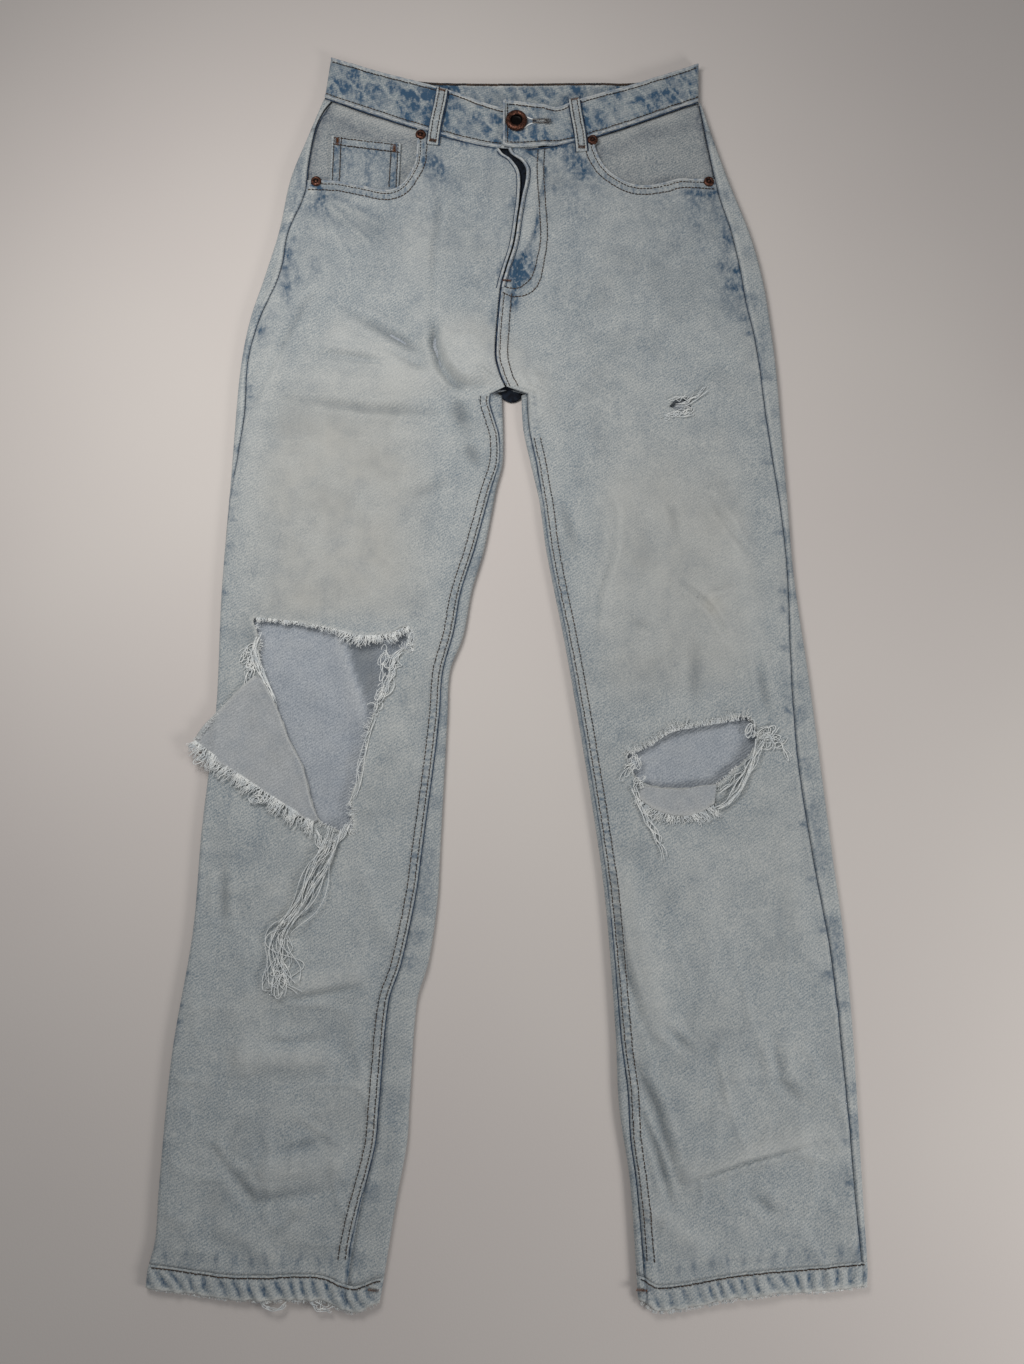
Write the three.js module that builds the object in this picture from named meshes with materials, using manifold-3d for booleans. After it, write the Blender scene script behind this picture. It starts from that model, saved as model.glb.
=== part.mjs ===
// Ripped high-rise jeans, laid face up on a flat surface. Sizes are in millimetres.
// +X is the wearer's left, +Y runs from the hems to the waist and +Z is up from the surface.
// The origin is on the surface, at the middle of the outline.
// Each leg is a flattened ring of cloth: a front panel on top, and a back panel underneath that
// wraps round the side folds up to the seams.
import * as THREE from "three";
import { mergeVertices } from "three/addons/utils/BufferGeometryUtils.js";
import Module from "manifold-3d";

const wasm = await Module();
wasm.setup();

// Driving sizes
const CLOTH = 1.5; // wall of a single panel
const GAP = 0.3; // between pieces that meet at a seam
const WAIST_ROW = 500; // waist seam, measured at the side
const CROTCH_ROW = 222;
const HEM_ROW = -525; // hem fold, measured at the side
const HEM_HEIGHT = 18;
const HEM_WALL = 2.7; // cloth turned up twice
const LEG_TOP = 6.5; // height of the outer face of a leg's front
const SEAT_TOP = 7.2; // the same over the hips, where facings lie underneath
const SEAT_REST = 1.8; // the seat lies on its pockets and belt loops
const TRIM_WALL = 1.2; // facings, coin pocket, flap and lip
const UNDER_DEPTH = CLOTH + GAP; // outer face of what lies under a front panel
const TUBE_SPARE = 40; // lets the top and bottom run past the centre line above the crotch
const LEG_START = CROTCH_ROW - 6; // first row of the legs
const YOKE_DROP = { centre: 62, side: 30 }; // height of the yoke at the centre back and at the side
const YOKE_GAP = 1; // between the yoke and the waistband

// Waistband
const BAND_WALL = 2.6;
const BAND_TOP = 7.5; // outer face of its front
const BAND_REST = 1.8; // outer face of its back
const UNDERLAP_END = 28; // the right front ends here, under the tab
const TAB_END = -4; // the buttonhole tab ends here
const TAB_RAISE = 2.9;
const TAB_FLAT_TO = 31;
const TAB_RAMP = 15;
const BAND_SIDES = [
  { seam: -170, edge: -165 },
  { seam: 177, edge: 178 },
];

// Fastenings
const BUTTON = { x: 8, y: 477, radius: 10, shank: 2.1, slot: 5, slotLength: 18 };
const RIVET_RADIUS = 4.5;
const RIVETS = {
  rivet_right_front: [-80, 466],
  rivet_right_side: [-175, 420],
  rivet_left_front: [78, 460],
  rivet_left_side: [184, 420],
};

// Belt loops: lower and upper end of each centre line
const LOOP_WIDTH = 10;
const LOOP_WALL = 1.8;
const FRONT_LOOPS = {
  belt_loop_front_right: [[-69, 457], [-60, 515]],
  belt_loop_front_left: [[68, 450], [61, 504]],
};
const BACK_LOOPS = {
  belt_loop_back_right: [[-106, 476], [-103, 526]],
  belt_loop_back_centre: [[2, 473], [2, 521]],
  belt_loop_back_left: [[110, 472], [107, 519]],
};

// Outlines of the two halves, as [row, value]: the outer fold, the inner fold of the leg, and how far in
// from each fold its seam lies on the top face. A negative inset is a seam that lies underneath.
const HALVES = {
  right: {
    inward: 1,
    outer: [
      [504, -169], [464, -184], [423, -199], [373, -208], [328, -220], [286, -232], [236, -239],
      [130, -244], [38, -248], [-65, -249], [-167, -257], [-250, -261], [-348, -274],
      [-454, -280], [-489, -281], [-512, -286], [-525, -287],
    ],
    inner: [
      [222, -5], [157, -4], [130, -10], [77, -20], [38, -31], [-1, -38], [-31, -49], [-71, -51],
      [-182, -56], [-225, -58], [-275, -65], [-306, -74], [-383, -79], [-419, -81], [-465, -90],
      [-525, -101],
    ],
    outseam: [
      [500, 8], [481, 4], [461, 6], [436, 12], [410, 17], [371, 9], [328, 14], [280, 8], [245, 6],
      [197, 8], [160, 5], [120, 1], [60, -2], [-525, -5],
    ],
    inseam: [
      [222, 11], [190, 12], [173, 6], [149, 3], [77, 8], [-1, 9], [-30, 6], [-92, 8], [-182, 15],
      [-275, 22], [-410, 25], [-489, 29], [-525, 27],
    ],
  },
  left: {
    inward: -1,
    outer: [
      [504, 178], [452, 193], [412, 206], [368, 221], [324, 231], [284, 236], [239, 240],
      [119, 246], [53, 249], [-32, 258], [-73, 262], [-192, 273], [-251, 279], [-322, 283],
      [-469, 286], [-513, 287], [-525, 286],
    ],
    inner: [
      [222, 12], [185, 14], [151, 21], [119, 28], [74, 34], [-11, 50], [-90, 63], [-192, 78],
      [-240, 83], [-333, 89], [-390, 91], [-447, 99], [-525, 104],
    ],
    outseam: [
      [500, 3], [491, 3], [452, 8], [409, 14], [380, 16], [312, 19], [273, 16], [194, 13], [108, 7],
      [53, 6], [-32, 15], [-106, 19], [-192, 17], [-299, 12], [-511, 5],
    ],
    inseam: [
      [222, 5], [156, 5], [123, 3], [-94, 3], [-333, 4], [-380, 8], [-424, 5], [-525, 6],
    ],
  },
};

// Slanted and curved edges, as [x, y]
const FRONT_SEAM = curve([[-170, 504], [-86, 474], [-6, 453], [59, 459], [177, 500]]);
const FRONT_EDGE_RIGHT = curve([[-165, 544], [-110, 527], [-54, 511], [-9, 494], [28, 490]]);
const FRONT_EDGE_LEFT = curve([[-4, 499], [30, 495], [46, 494], [67, 502], [123, 519], [178, 538]]);
const BACK_SEAM = curve([[-170, 504], [-110, 488], [-60, 481], [80, 481], [125, 484], [177, 500]]);
const BACK_EDGE = curve([[-165, 544], [-110, 527], [-60, 521], [80, 521], [125, 522], [178, 538]]);
const HEM_EDGE = curve([
  [-287, -526], [-217, -535], [-149, -535], [-122, -544], [-101, -538], [104, -536], [122, -543],
  [187, -533], [250, -528], [287, -524],
]);

// Centre front, as [y, x]: the open right edge beside the fly, and the edge of the left front with its fly
const CENTRE_RIGHT = curve([
  [453, -9], [442, -3], [429, 6], [410, 8], [386, 7], [359, 5], [332, -3], [314, -7], [250, -11],
  [232, -7], [222, -2],
]);
const CENTRE_LEFT = curve([
  [453, 0], [443, 4], [431, 17], [412, 14], [387, 10], [359, 6], [332, -2], [314, -6], [250, -10],
  [232, -6], [222, -1],
]);
const CENTRE_BACK = 1;

// Front pocket mouths, from the waist seam round to the side seam
const POCKET_MOUTHS = {
  right: [[-83, 490], [-84, 444], [-88, 430], [-97, 416], [-110, 411], [-135, 416], [-158, 421], [-230, 420]],
  left: [[77, 490], [80, 455], [88, 436], [100, 425], [118, 416], [140, 418], [160, 423], [240, 420]],
};
const MOUTH_TOP = 560; // each mouth is cut up to here, past the waist seam
const FACING_IN = { right: -72, left: 70 }; // inner end of each facing
const FACING_ROW = 396; // its lower edge
const FACING_INSET = { least: 3, gap: 1 }; // how far in from the outer fold it starts at least
const COIN_POCKET = [[-162, 424], [-162, 466], [-98, 458], [-99, 416]];
const COIN_MARGIN = 0.45; // along each axis, between it and the mouth's edge
const SKIRT = [[-230, 300], [-40, 300], [-40, 490]]; // closes what is cut off below the right mouth

// Shield behind the open fly: its two long edges
const SHIELD_RIGHT = [[-14, 438], [-10, 400], [-14, 350], [-22, 325]];
const SHIELD_LEFT = [[34, 438], [34, 400], [30, 350], [20, 325]];

// Back pocket, as [distance from the middle, y]
const BACK_POCKET = [[155, 408], [150, 262], [92, 236], [34, 250], [26, 386]];

// Holes torn through the fronts
const KNEE_RIGHT = [
  [-220, 14], [-181, 10], [-142, 2], [-126, -2], [-104, -1], [-84, 6], [-82, -14], [-91, -12],
  [-99, -40], [-117, -77], [-124, -122], [-132, -137], [-131, -167], [-156, -160], [-164, -144],
  [-172, -115], [-184, -92], [-197, -61], [-211, -34], [-214, -4],
];
const KNEE_LEFT = [
  [101, -103], [119, -96], [138, -84], [161, -79], [184, -75], [205, -72], [212, -88], [207, -101],
  [186, -121], [175, -128], [147, -132], [120, -129], [108, -122],
];

// Cloth turned over at the knees: the fold line, then the far edge
const FLAP_FOLD = [[-212, -37], [-199, -61], [-186, -92], [-174, -115], [-166, -144], [-159, -159]];
const FLAP_EDGE = [[-216, -36], [-238, -58], [-265, -93], [-230, -119], [-196, -141], [-163, -162]];
const LIP_FOLD = [[112, -131], [130, -133], [147, -134], [163, -131], [176, -130]];
const LIP_EDGE = [[110, -140], [124, -150], [142, -155], [160, -153], [174, -145]];

// Reach of each frayed edge: the line where its yarns start and the line where they end
const FRINGES = {
  fringe_knee_right_top: {
    half: "right", lift: -0.6, wall: 1,
    from: [[-212, 13.0], [-181, 9.5], [-142, 1.5], [-126, -2.5], [-104, -1.5], [-90, 3.0]],
    to: [[-212, 9], [-181, 4], [-142, -6], [-126, -12], [-104, -10], [-90, -3]],
  },
  fringe_knee_right_side: {
    half: "right", lift: -0.6, wall: 1,
    from: [[-101, -42], [-118.5, -78], [-125, -122], [-133, -138], [-132, -158]],
    to: [[-108, -44], [-123, -80], [-131, -122], [-139, -140], [-138, -158]],
  },
  fringe_knee_right_corner: {
    half: "right", lift: 1.3, wall: 1,
    from: [[-217, -4], [-217, -20], [-219, -31]],
    to: [[-227, -8], [-230, -22], [-227, -35]],
  },
  fringe_flap: {
    half: "right", lift: 1.5, wall: 1,
    from: [[-264, -95], [-230, -120], [-196, -142], [-164, -163]],
    to: [[-268, -104], [-235, -129], [-200, -151], [-167, -172]],
  },
  fringe_knee_left_top: {
    half: "left", lift: 1.3, wall: 1,
    from: [[101, -101], [119, -94], [138, -82], [161, -77], [184, -73], [204, -70]],
    to: [[99, -94], [115, -88], [134, -76], [160, -70], [184, -66], [206, -62]],
  },
  fringe_knee_left_bottom: {
    half: "left", lift: 1.3, wall: 1,
    from: [[109.6, -141], [124, -151], [142, -156], [160, -154], [174, -146]],
    to: [[105, -147], [121, -158], [142, -163], [162, -161], [178, -151]],
  },
  fringe_knee_left_side: {
    half: "left", lift: 1.6, wall: 1,
    from: [[179, -130], [189, -122], [209, -104]],
    to: [[185, -136], [196, -129], [216, -108]],
  },
  yarn_bundle: {
    half: "right", lift: 4.4, wall: 3,
    from: [[-157, -175], [-160, -195], [-175, -215], [-191, -245], [-199, -265], [-196, -300]],
    to: [[-130, -172], [-147, -195], [-158, -215], [-173, -245], [-181, -265], [-174, -302]],
  },
};

// The largest folds of the fronts: each is a soft ridge along a line
const FOLDS = [
  { from: [-38, 262], to: [-34, 246], width: 24, height: 7 }, // puffed cloth beside the crotch
  { from: [0, 250], to: [0, 236], width: 18, height: 3.5 },
  { from: [24, 226], to: [30, 200], width: 12, height: 3 },
  { from: [-150, 270], to: [-75, 232], width: 15, height: 3 }, // ridges across the right thigh
  { from: [-175, 232], to: [-95, 220], width: 12, height: 2.5 },
  { from: [-205, 250], to: [-228, 170], width: 10, height: 2 },
  { from: [100, 130], to: [84, 10], width: 12, height: 2 }, // ridges down the left thigh
  { from: [196, 100], to: [214, -20], width: 12, height: 2.5 },
  { from: [170, 40], to: [192, -10], width: 10, height: 2 },
  { from: [98, -210], to: [126, -330], width: 12, height: 2.5 }, // ridges on the shins
  { from: [150, -440], to: [235, -412], width: 11, height: 3 },
  { from: [-190, -296], to: [-125, -286], width: 11, height: 2.5 },
  { from: [-210, -352], to: [-150, -350], width: 11, height: 2.5 },
  { from: [-190, -440], to: [-140, -432], width: 12, height: 2.5 },
];
const FOLD_MARGIN = 12; // folds fade out this close to a leg's edge

// How finely the cloth is divided
const FRONT_COLUMNS = 10;
const TRUNK_ROWS = 10;
const LEG_ROWS = 20;
const BACK_FLAT_COLUMNS = 10; // across the seat
const BACK_FLAT_FRACTIONS = [0.2, 0.4, 0.6, 0.8]; // across the back of a leg
const FOLD_FRACTIONS = [0, 0.25, 0.5, 0.75, 1]; // round a fold
const FIRST_TURN = 0.2; // a back that starts on the inner fold starts no further round than this
const LEAST_TURN = 0.4; // and takes at least this much of the fold
const YOKE_ROWS = 2; // extra rows of the back that follow the yoke

const COLOURS = {
  denim: 0xb4bfc8,
  denimBack: 0xa9b6c4,
  denimFacing: 0xa9b0b0,
  denimBand: 0x9fb0c2,
  yarn: 0xd8d4cb,
  copper: 0x8a4a2c,
};

// A smooth curve through [t, value] stations, held at its ends.
function curve(stations) {
  const s = [...stations].sort((a, b) => a[0] - b[0]);
  const last = s.length - 1;
  const slope = (i) => {
    const a = s[Math.max(i - 1, 0)];
    const b = s[Math.min(i + 1, last)];
    return (b[1] - a[1]) / (b[0] - a[0]);
  };
  return (t) => {
    if (t <= s[0][0]) return s[0][1];
    if (t >= s[last][0]) return s[last][1];
    const i = s.findIndex((p) => p[0] > t) - 1;
    const span = s[i + 1][0] - s[i][0];
    const u = (t - s[i][0]) / span;
    const v = 1 - u;
    return (
      (1 + 2 * u) * v * v * s[i][1] +
      u * v * v * span * slope(i) +
      u * u * (3 - 2 * u) * s[i + 1][1] -
      u * u * v * span * slope(i + 1)
    );
  };
}

// 0 below the start, 1 past the end, smooth between.
function ease(value, start, end) {
  return THREE.MathUtils.smoothstep((value - start) / (end - start), 0, 1);
}

const mix = THREE.MathUtils.lerp;

// The point a fraction t of the way along a polyline, by its number of points.
function along(line, t) {
  const at = t * (line.length - 1);
  const i = Math.min(Math.floor(at), line.length - 2);
  return [0, 1].map((k) => mix(line[i][k], line[i + 1][k], at - i));
}

const halves = Object.fromEntries(
  Object.entries(HALVES).map(([name, h]) => [
    name,
    {
      name,
      inward: h.inward,
      outer: curve(h.outer),
      inner: curve(h.inner),
      outseam: curve(h.outseam),
      inseam: curve(h.inseam),
    },
  ]),
);

// Height of the ridges at a point of the fronts.
function foldHeight(x, y) {
  let height = 0;
  for (const fold of FOLDS) {
    const dx = fold.to[0] - fold.from[0];
    const dy = fold.to[1] - fold.from[1];
    const run = ((x - fold.from[0]) * dx + (y - fold.from[1]) * dy) / (dx * dx + dy * dy);
    const t = THREE.MathUtils.clamp(run, 0, 1);
    const distance = Math.hypot(x - fold.from[0] - t * dx, y - fold.from[1] - t * dy);
    height += fold.height * Math.exp(-((distance / fold.width) ** 2));
  }
  return height;
}

// Outer faces of the back and of the front, at a row.
const bottomLevel = (row) => SEAT_REST * ease(row, 190, 228);
const topLevel = (row) => mix(LEG_TOP, SEAT_TOP, ease(row, 300, 400));

// Height of the front's outer face at a point.
function topHeight(half, x, y) {
  let inset = Math.abs(x - half.outer(y));
  if (y < CROTCH_ROW) inset = Math.min(inset, Math.abs(x - half.inner(y)));
  return topLevel(y) + foldHeight(x, y) * ease(inset, 2, FOLD_MARGIN);
}

// How far a point of a row is moved along Y, so that the first row follows the waist seam and the last
// one the hem. turned is 0 on the front and 1 on the back.
function rowShift(x, row, turned) {
  const seam = mix(FRONT_SEAM(x), BACK_SEAM(x), turned);
  const waist = (seam - WAIST_ROW) * ease(row, 380, WAIST_ROW);
  const hem = (HEM_EDGE(x) - HEM_ROW) * ease(-row, 430, -HEM_ROW);
  return waist + hem;
}

// Sizes of the ring at a row: its outer fold, the radius of its folds and the length of its flat top.
function ringSizes(half, row) {
  const radius = (topLevel(row) - bottomLevel(row)) / 2;
  const outer = half.outer(row);
  const reach =
    row >= CROTCH_ROW
      ? Math.abs(CENTRE_BACK - outer) + TUBE_SPARE
      : Math.abs(half.inner(row) - outer) - radius;
  return { radius, outer, flat: reach - radius };
}

// Distances round the ring, from the outer end of its flat top, where q = 0: of a point of the top face
// that is inset from the outer fold, and of a point of the bottom face at x.
const topDistance = (half, row, inset) => inset - ringSizes(half, row).radius;
function bottomDistance(half, row, x) {
  const { radius, outer, flat } = ringSizes(half, row);
  return 2 * flat + Math.PI * radius + radius - Math.abs(x - outer);
}

const ROUNDING = 1e-9;

// The point at a distance q round the ring, and a depth in from its outer face. q runs along the top to the
// inner fold, round it, back along the bottom and round the outer fold.
function ringPoint(half, q, row, depth) {
  const { radius, outer, flat } = ringSizes(half, row);
  const arc = Math.PI * radius;
  const around = 2 * (flat + arc);
  let d = ((q % around) + around) % around;
  if (Math.abs(q) < ROUNDING) d = 0;
  const bottom = bottomLevel(row);
  const middle = bottom + radius;
  let run = 0;
  let z = 0;
  let turned = 0;
  let onTop = false;
  if (d <= flat) {
    run = radius + d;
    onTop = true;
  } else if (d < flat + arc) {
    turned = (d - flat) / arc;
    run = radius + flat + (radius - depth) * Math.sin(turned * Math.PI);
    z = middle + (radius - depth) * Math.cos(turned * Math.PI);
  } else if (d <= 2 * flat + arc) {
    turned = 1;
    run = radius + 2 * flat + arc - d;
    z = bottom + depth;
  } else {
    turned = 1 - (d - 2 * flat - arc) / arc;
    run = radius - (radius - depth) * Math.sin(turned * Math.PI);
    z = middle + (radius - depth) * Math.cos(turned * Math.PI);
  }
  const x = outer + half.inward * run;
  const y = row + rowShift(x, row, turned);
  if (onTop) z = topHeight(half, x, y) + topLevel(row) - topLevel(y) - depth;
  return new THREE.Vector3(x, y, z);
}

// A closed wall between two grids of points, outside[i][j] and inside[i][j]. A looped grid joins its last
// column to its first.
function wall(outside, inside, looped = false) {
  const rows = outside.length;
  const columns = outside[0].length;
  const positions = [];
  for (const grid of [outside, inside]) {
    for (const line of grid) {
      for (const p of line) positions.push(p.x, p.y, p.z);
    }
  }
  const out = (i, j) => i * columns + (j % columns);
  const inn = (i, j) => rows * columns + out(i, j);
  const index = [];
  const quad = (a, b, c, d) => index.push(a, b, c, a, c, d);
  const spans = looped ? columns : columns - 1;
  for (let i = 0; i < rows - 1; i++) {
    for (let j = 0; j < spans; j++) {
      quad(out(i, j), out(i, j + 1), out(i + 1, j + 1), out(i + 1, j));
      quad(inn(i, j), inn(i + 1, j), inn(i + 1, j + 1), inn(i, j + 1));
    }
    if (!looped) {
      quad(out(i, 0), out(i + 1, 0), inn(i + 1, 0), inn(i, 0));
      quad(out(i, spans), inn(i, spans), inn(i + 1, spans), out(i + 1, spans));
    }
  }
  for (let j = 0; j < spans; j++) {
    quad(out(0, j), inn(0, j), inn(0, j + 1), out(0, j + 1));
    quad(out(rows - 1, j), out(rows - 1, j + 1), inn(rows - 1, j + 1), inn(rows - 1, j));
  }
  const geometry = new THREE.BufferGeometry();
  geometry.setAttribute("position", new THREE.Float32BufferAttribute(positions, 3));
  geometry.setIndex(index);
  return facingOut(geometry);
}

// The same geometry with its faces turned to point outwards.
function facingOut(geometry) {
  const p = geometry.getAttribute("position");
  const index = geometry.getIndex().array;
  const a = new THREE.Vector3();
  const b = new THREE.Vector3();
  const c = new THREE.Vector3();
  let volume = 0;
  for (let i = 0; i < index.length; i += 3) {
    a.fromBufferAttribute(p, index[i]);
    b.fromBufferAttribute(p, index[i + 1]);
    c.fromBufferAttribute(p, index[i + 2]);
    volume += a.dot(b.cross(c));
  }
  if (volume < 0) {
    const turned = Array.from(index);
    for (let i = 0; i < turned.length; i += 3) {
      [turned[i + 1], turned[i + 2]] = [turned[i + 2], turned[i + 1]];
    }
    geometry.setIndex(turned);
  }
  return geometry;
}

// A grid of points at two depths, made into a wall: point(i, j, depth).
function wallOf(rows, columns, depths, point, looped = false) {
  const grid = (depth) =>
    Array.from({ length: rows }, (_, i) => Array.from({ length: columns }, (_, j) => point(i, j, depth)));
  return wall(grid(depths[0]), grid(depths[1]), looped);
}

// An upright prism on an outline.
function prism(outline, bottom, top) {
  const shape = new THREE.Shape(outline.map(([x, y]) => new THREE.Vector2(x, y)));
  return new THREE.ExtrudeGeometry(shape, { depth: top - bottom, bevelEnabled: false }).translate(0, 0, bottom);
}

function toSolid(geometry) {
  const bare = geometry.clone();
  bare.deleteAttribute("normal");
  bare.deleteAttribute("uv");
  const merged = mergeVertices(bare, 1e-4);
  return new wasm.Manifold(
    new wasm.Mesh({
      numProp: 3,
      vertProperties: new Float32Array(merged.attributes.position.array),
      triVerts: new Uint32Array(merged.index.array),
    }),
  );
}

function fromSolid(solid) {
  const mesh = solid.getMesh();
  const geometry = new THREE.BufferGeometry();
  geometry.setAttribute("position", new THREE.BufferAttribute(mesh.vertProperties, 3));
  geometry.setIndex(new THREE.BufferAttribute(mesh.triVerts, 1));
  return geometry;
}

// A geometry with each of the tools cut away.
function cut(geometry, ...tools) {
  return fromSolid(tools.reduce((solid, tool) => solid.subtract(toSolid(tool)), toSolid(geometry)));
}

const ABOVE = 60; // well clear of the cloth
const pocketMouth = (name) => {
  const line = POCKET_MOUTHS[name];
  const end = line[line.length - 1];
  return prism([...line, [end[0], MOUTH_TOP], [line[0][0], MOUTH_TOP]], -ABOVE, ABOVE);
};

const pieces = new THREE.Group();

function add(name, geometry, colour, roughness = 0.95, metalness = 0) {
  const flat = geometry.index ? geometry.toNonIndexed() : geometry;
  flat.computeVertexNormals();
  const material = new THREE.MeshStandardMaterial({ color: colour, roughness, metalness });
  const mesh = new THREE.Mesh(flat, material);
  mesh.name = name;
  pieces.add(mesh);
}

const trunkRows = Array.from({ length: TRUNK_ROWS + 1 }, (_, i) =>
  mix(WAIST_ROW - GAP, CROTCH_ROW, i / TRUNK_ROWS),
);
const hemTop = HEM_ROW + HEM_HEIGHT + GAP;
const legRows = Array.from({ length: LEG_ROWS + 1 }, (_, i) => mix(LEG_START, hemTop, i / LEG_ROWS));
const allRows = [...trunkRows, ...legRows];

// Where the centre front lies at a row of the front, above the crotch.
function centreFront(name, row) {
  const y = row + rowShift(0, row, 0);
  return name === "right" ? CENTRE_RIGHT(y) - GAP / 2 : CENTRE_LEFT(y) + GAP / 2;
}

// Distances round the ring for the columns of a front: outseam to centre front above the crotch, and
// outseam to inseam down the leg.
function frontColumns(half, row) {
  const { radius, outer, flat } = ringSizes(half, row);
  const start = topDistance(half, row, half.outseam(row)) + GAP / 2;
  const end =
    row >= CROTCH_ROW
      ? Math.abs(centreFront(half.name, row) - outer) - radius
      : flat + radius - half.inseam(row) - GAP / 2;
  return Array.from({ length: FRONT_COLUMNS + 1 }, (_, k) => mix(start, end, k / FRONT_COLUMNS));
}

function frontPanel(half) {
  const knee = half.name === "right" ? KNEE_RIGHT : KNEE_LEFT;
  const panel = wallOf(allRows.length, FRONT_COLUMNS + 1, [0, CLOTH], (i, j, depth) =>
    ringPoint(half, frontColumns(half, allRows[i])[j], allRows[i], depth),
  );
  return cut(panel, pocketMouth(half.name), prism(knee, -ABOVE, ABOVE));
}

// Distances round the ring for the columns of a back piece. Down the leg it starts at the inseam and goes
// round the inner fold; above the crotch it starts at the centre back.
function backColumns(half, row) {
  const { radius, flat } = ringSizes(half, row);
  const arc = Math.PI * radius;
  const end = 2 * (flat + arc) + topDistance(half, row, half.outseam(row)) - GAP / 2;
  const foldStart = 2 * flat + arc;
  const outerPart = FOLD_FRACTIONS.map((t) => foldStart + t * arc);
  if (end > foldStart + arc + 1) outerPart.push(end);
  else outerPart[4] = end;
  while (outerPart.length < 6) outerPart.splice(1, 0, mix(outerPart[0], outerPart[1], 0.5));
  if (row >= CROTCH_ROW) {
    const start = bottomDistance(half, row, CENTRE_BACK - (half.inward * GAP) / 2);
    const seat = Array.from({ length: BACK_FLAT_COLUMNS }, (_, k) => k / BACK_FLAT_COLUMNS);
    return [...seat.map((t) => mix(start, foldStart, t)), ...outerPart];
  }
  const seam = flat + radius - half.inseam(row) + GAP / 2;
  const first = Math.min(seam, flat + FIRST_TURN * arc);
  const rest = FOLD_FRACTIONS.slice(1).map((t) => Math.max(flat + t * arc, first + t * LEAST_TURN * arc));
  const bottom = BACK_FLAT_FRACTIONS.map((t) => mix(flat + arc, foldStart, t));
  return [first, mix(first, rest[0], 0.5), ...rest, ...bottom, ...outerPart];
}

// How far down from the waist seam the yoke reaches, at a column of the back.
const yokeReach = (j) => mix(YOKE_DROP.centre, YOKE_DROP.side, Math.min(j / BACK_FLAT_COLUMNS, 1));

function backYoke(half) {
  const columns = backColumns(half, WAIST_ROW).length;
  return wallOf(4, columns, [0, CLOTH], (i, j, depth) => {
    const row = WAIST_ROW - YOKE_GAP - (i / 3) * (yokeReach(j) - YOKE_GAP);
    return ringPoint(half, backColumns(half, row)[j], row, depth);
  });
}

function backPanel(half) {
  const columns = backColumns(half, WAIST_ROW).length;
  const rows = allRows.filter((row) => row < WAIST_ROW - YOKE_DROP.centre - 10);
  return wallOf(rows.length + YOKE_ROWS, columns, [0, CLOTH], (i, j, depth) => {
    const top = WAIST_ROW - yokeReach(j) - GAP;
    const row = i < YOKE_ROWS ? mix(top, rows[0], i / YOKE_ROWS) : rows[i - YOKE_ROWS];
    return ringPoint(half, backColumns(half, row)[j], row, depth);
  });
}

// A hem is a whole ring, divided like the panels above it.
function hem(half) {
  const stops = (row) => [...frontColumns(half, row), ...backColumns(half, row).slice(1, -1)];
  const point = (i, j, depth) => {
    const row = mix(HEM_ROW + HEM_HEIGHT, HEM_ROW, i / 2);
    return ringPoint(half, stops(row)[j], row, depth);
  };
  return wallOf(3, stops(HEM_ROW).length, [0, HEM_WALL], point, true);
}

// Facing behind the mouth of a front pocket, under the front.
function pocketFacing(half) {
  const rows = 6;
  const columns = 7;
  return wallOf(rows, columns, [UNDER_DEPTH, UNDER_DEPTH + TRIM_WALL], (i, j, depth) => {
    const row = mix(WAIST_ROW - GAP, FACING_ROW, i / (rows - 1));
    const start = topDistance(half, row, Math.max(half.outseam(row), FACING_INSET.least) + FACING_INSET.gap);
    const end = Math.abs(FACING_IN[half.name] - half.outer(row)) - ringSizes(half, row).radius;
    return ringPoint(half, mix(start, end, j / (columns - 1)), row, depth);
  });
}

// A patch between two lines on the front's outer face, moved out by a lift, with its own wall.
function patch(half, from, to, columns, rows, lift, thickness) {
  return wallOf(rows, columns, [lift + thickness, lift], (i, j, out) => {
    const a = along(from, j / (columns - 1));
    const b = along(to, j / (columns - 1));
    const x = mix(a[0], b[0], i / (rows - 1));
    const y = mix(a[1], b[1], i / (rows - 1));
    return new THREE.Vector3(x, y, topHeight(half, x, y) + out);
  });
}

function coinPocket(half) {
  const [lowerLeft, upperLeft, upperRight, lowerRight] = COIN_POCKET;
  const lift = GAP - UNDER_DEPTH;
  const whole = patch(half, [upperLeft, upperRight], [lowerLeft, lowerRight], 5, 4, lift, TRIM_WALL);
  const below = POCKET_MOUTHS.right.map(([x, y]) => [x - COIN_MARGIN, y + COIN_MARGIN]);
  const skirt = prism([...below, ...SKIRT], -ABOVE, ABOVE);
  return cut(whole, skirt);
}

// Shield that shows through the open fly, under both fronts.
function flyShield() {
  return patch(halves.left, SHIELD_RIGHT, SHIELD_LEFT, 5, 3, -UNDER_DEPTH - TRIM_WALL, TRIM_WALL);
}

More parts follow.
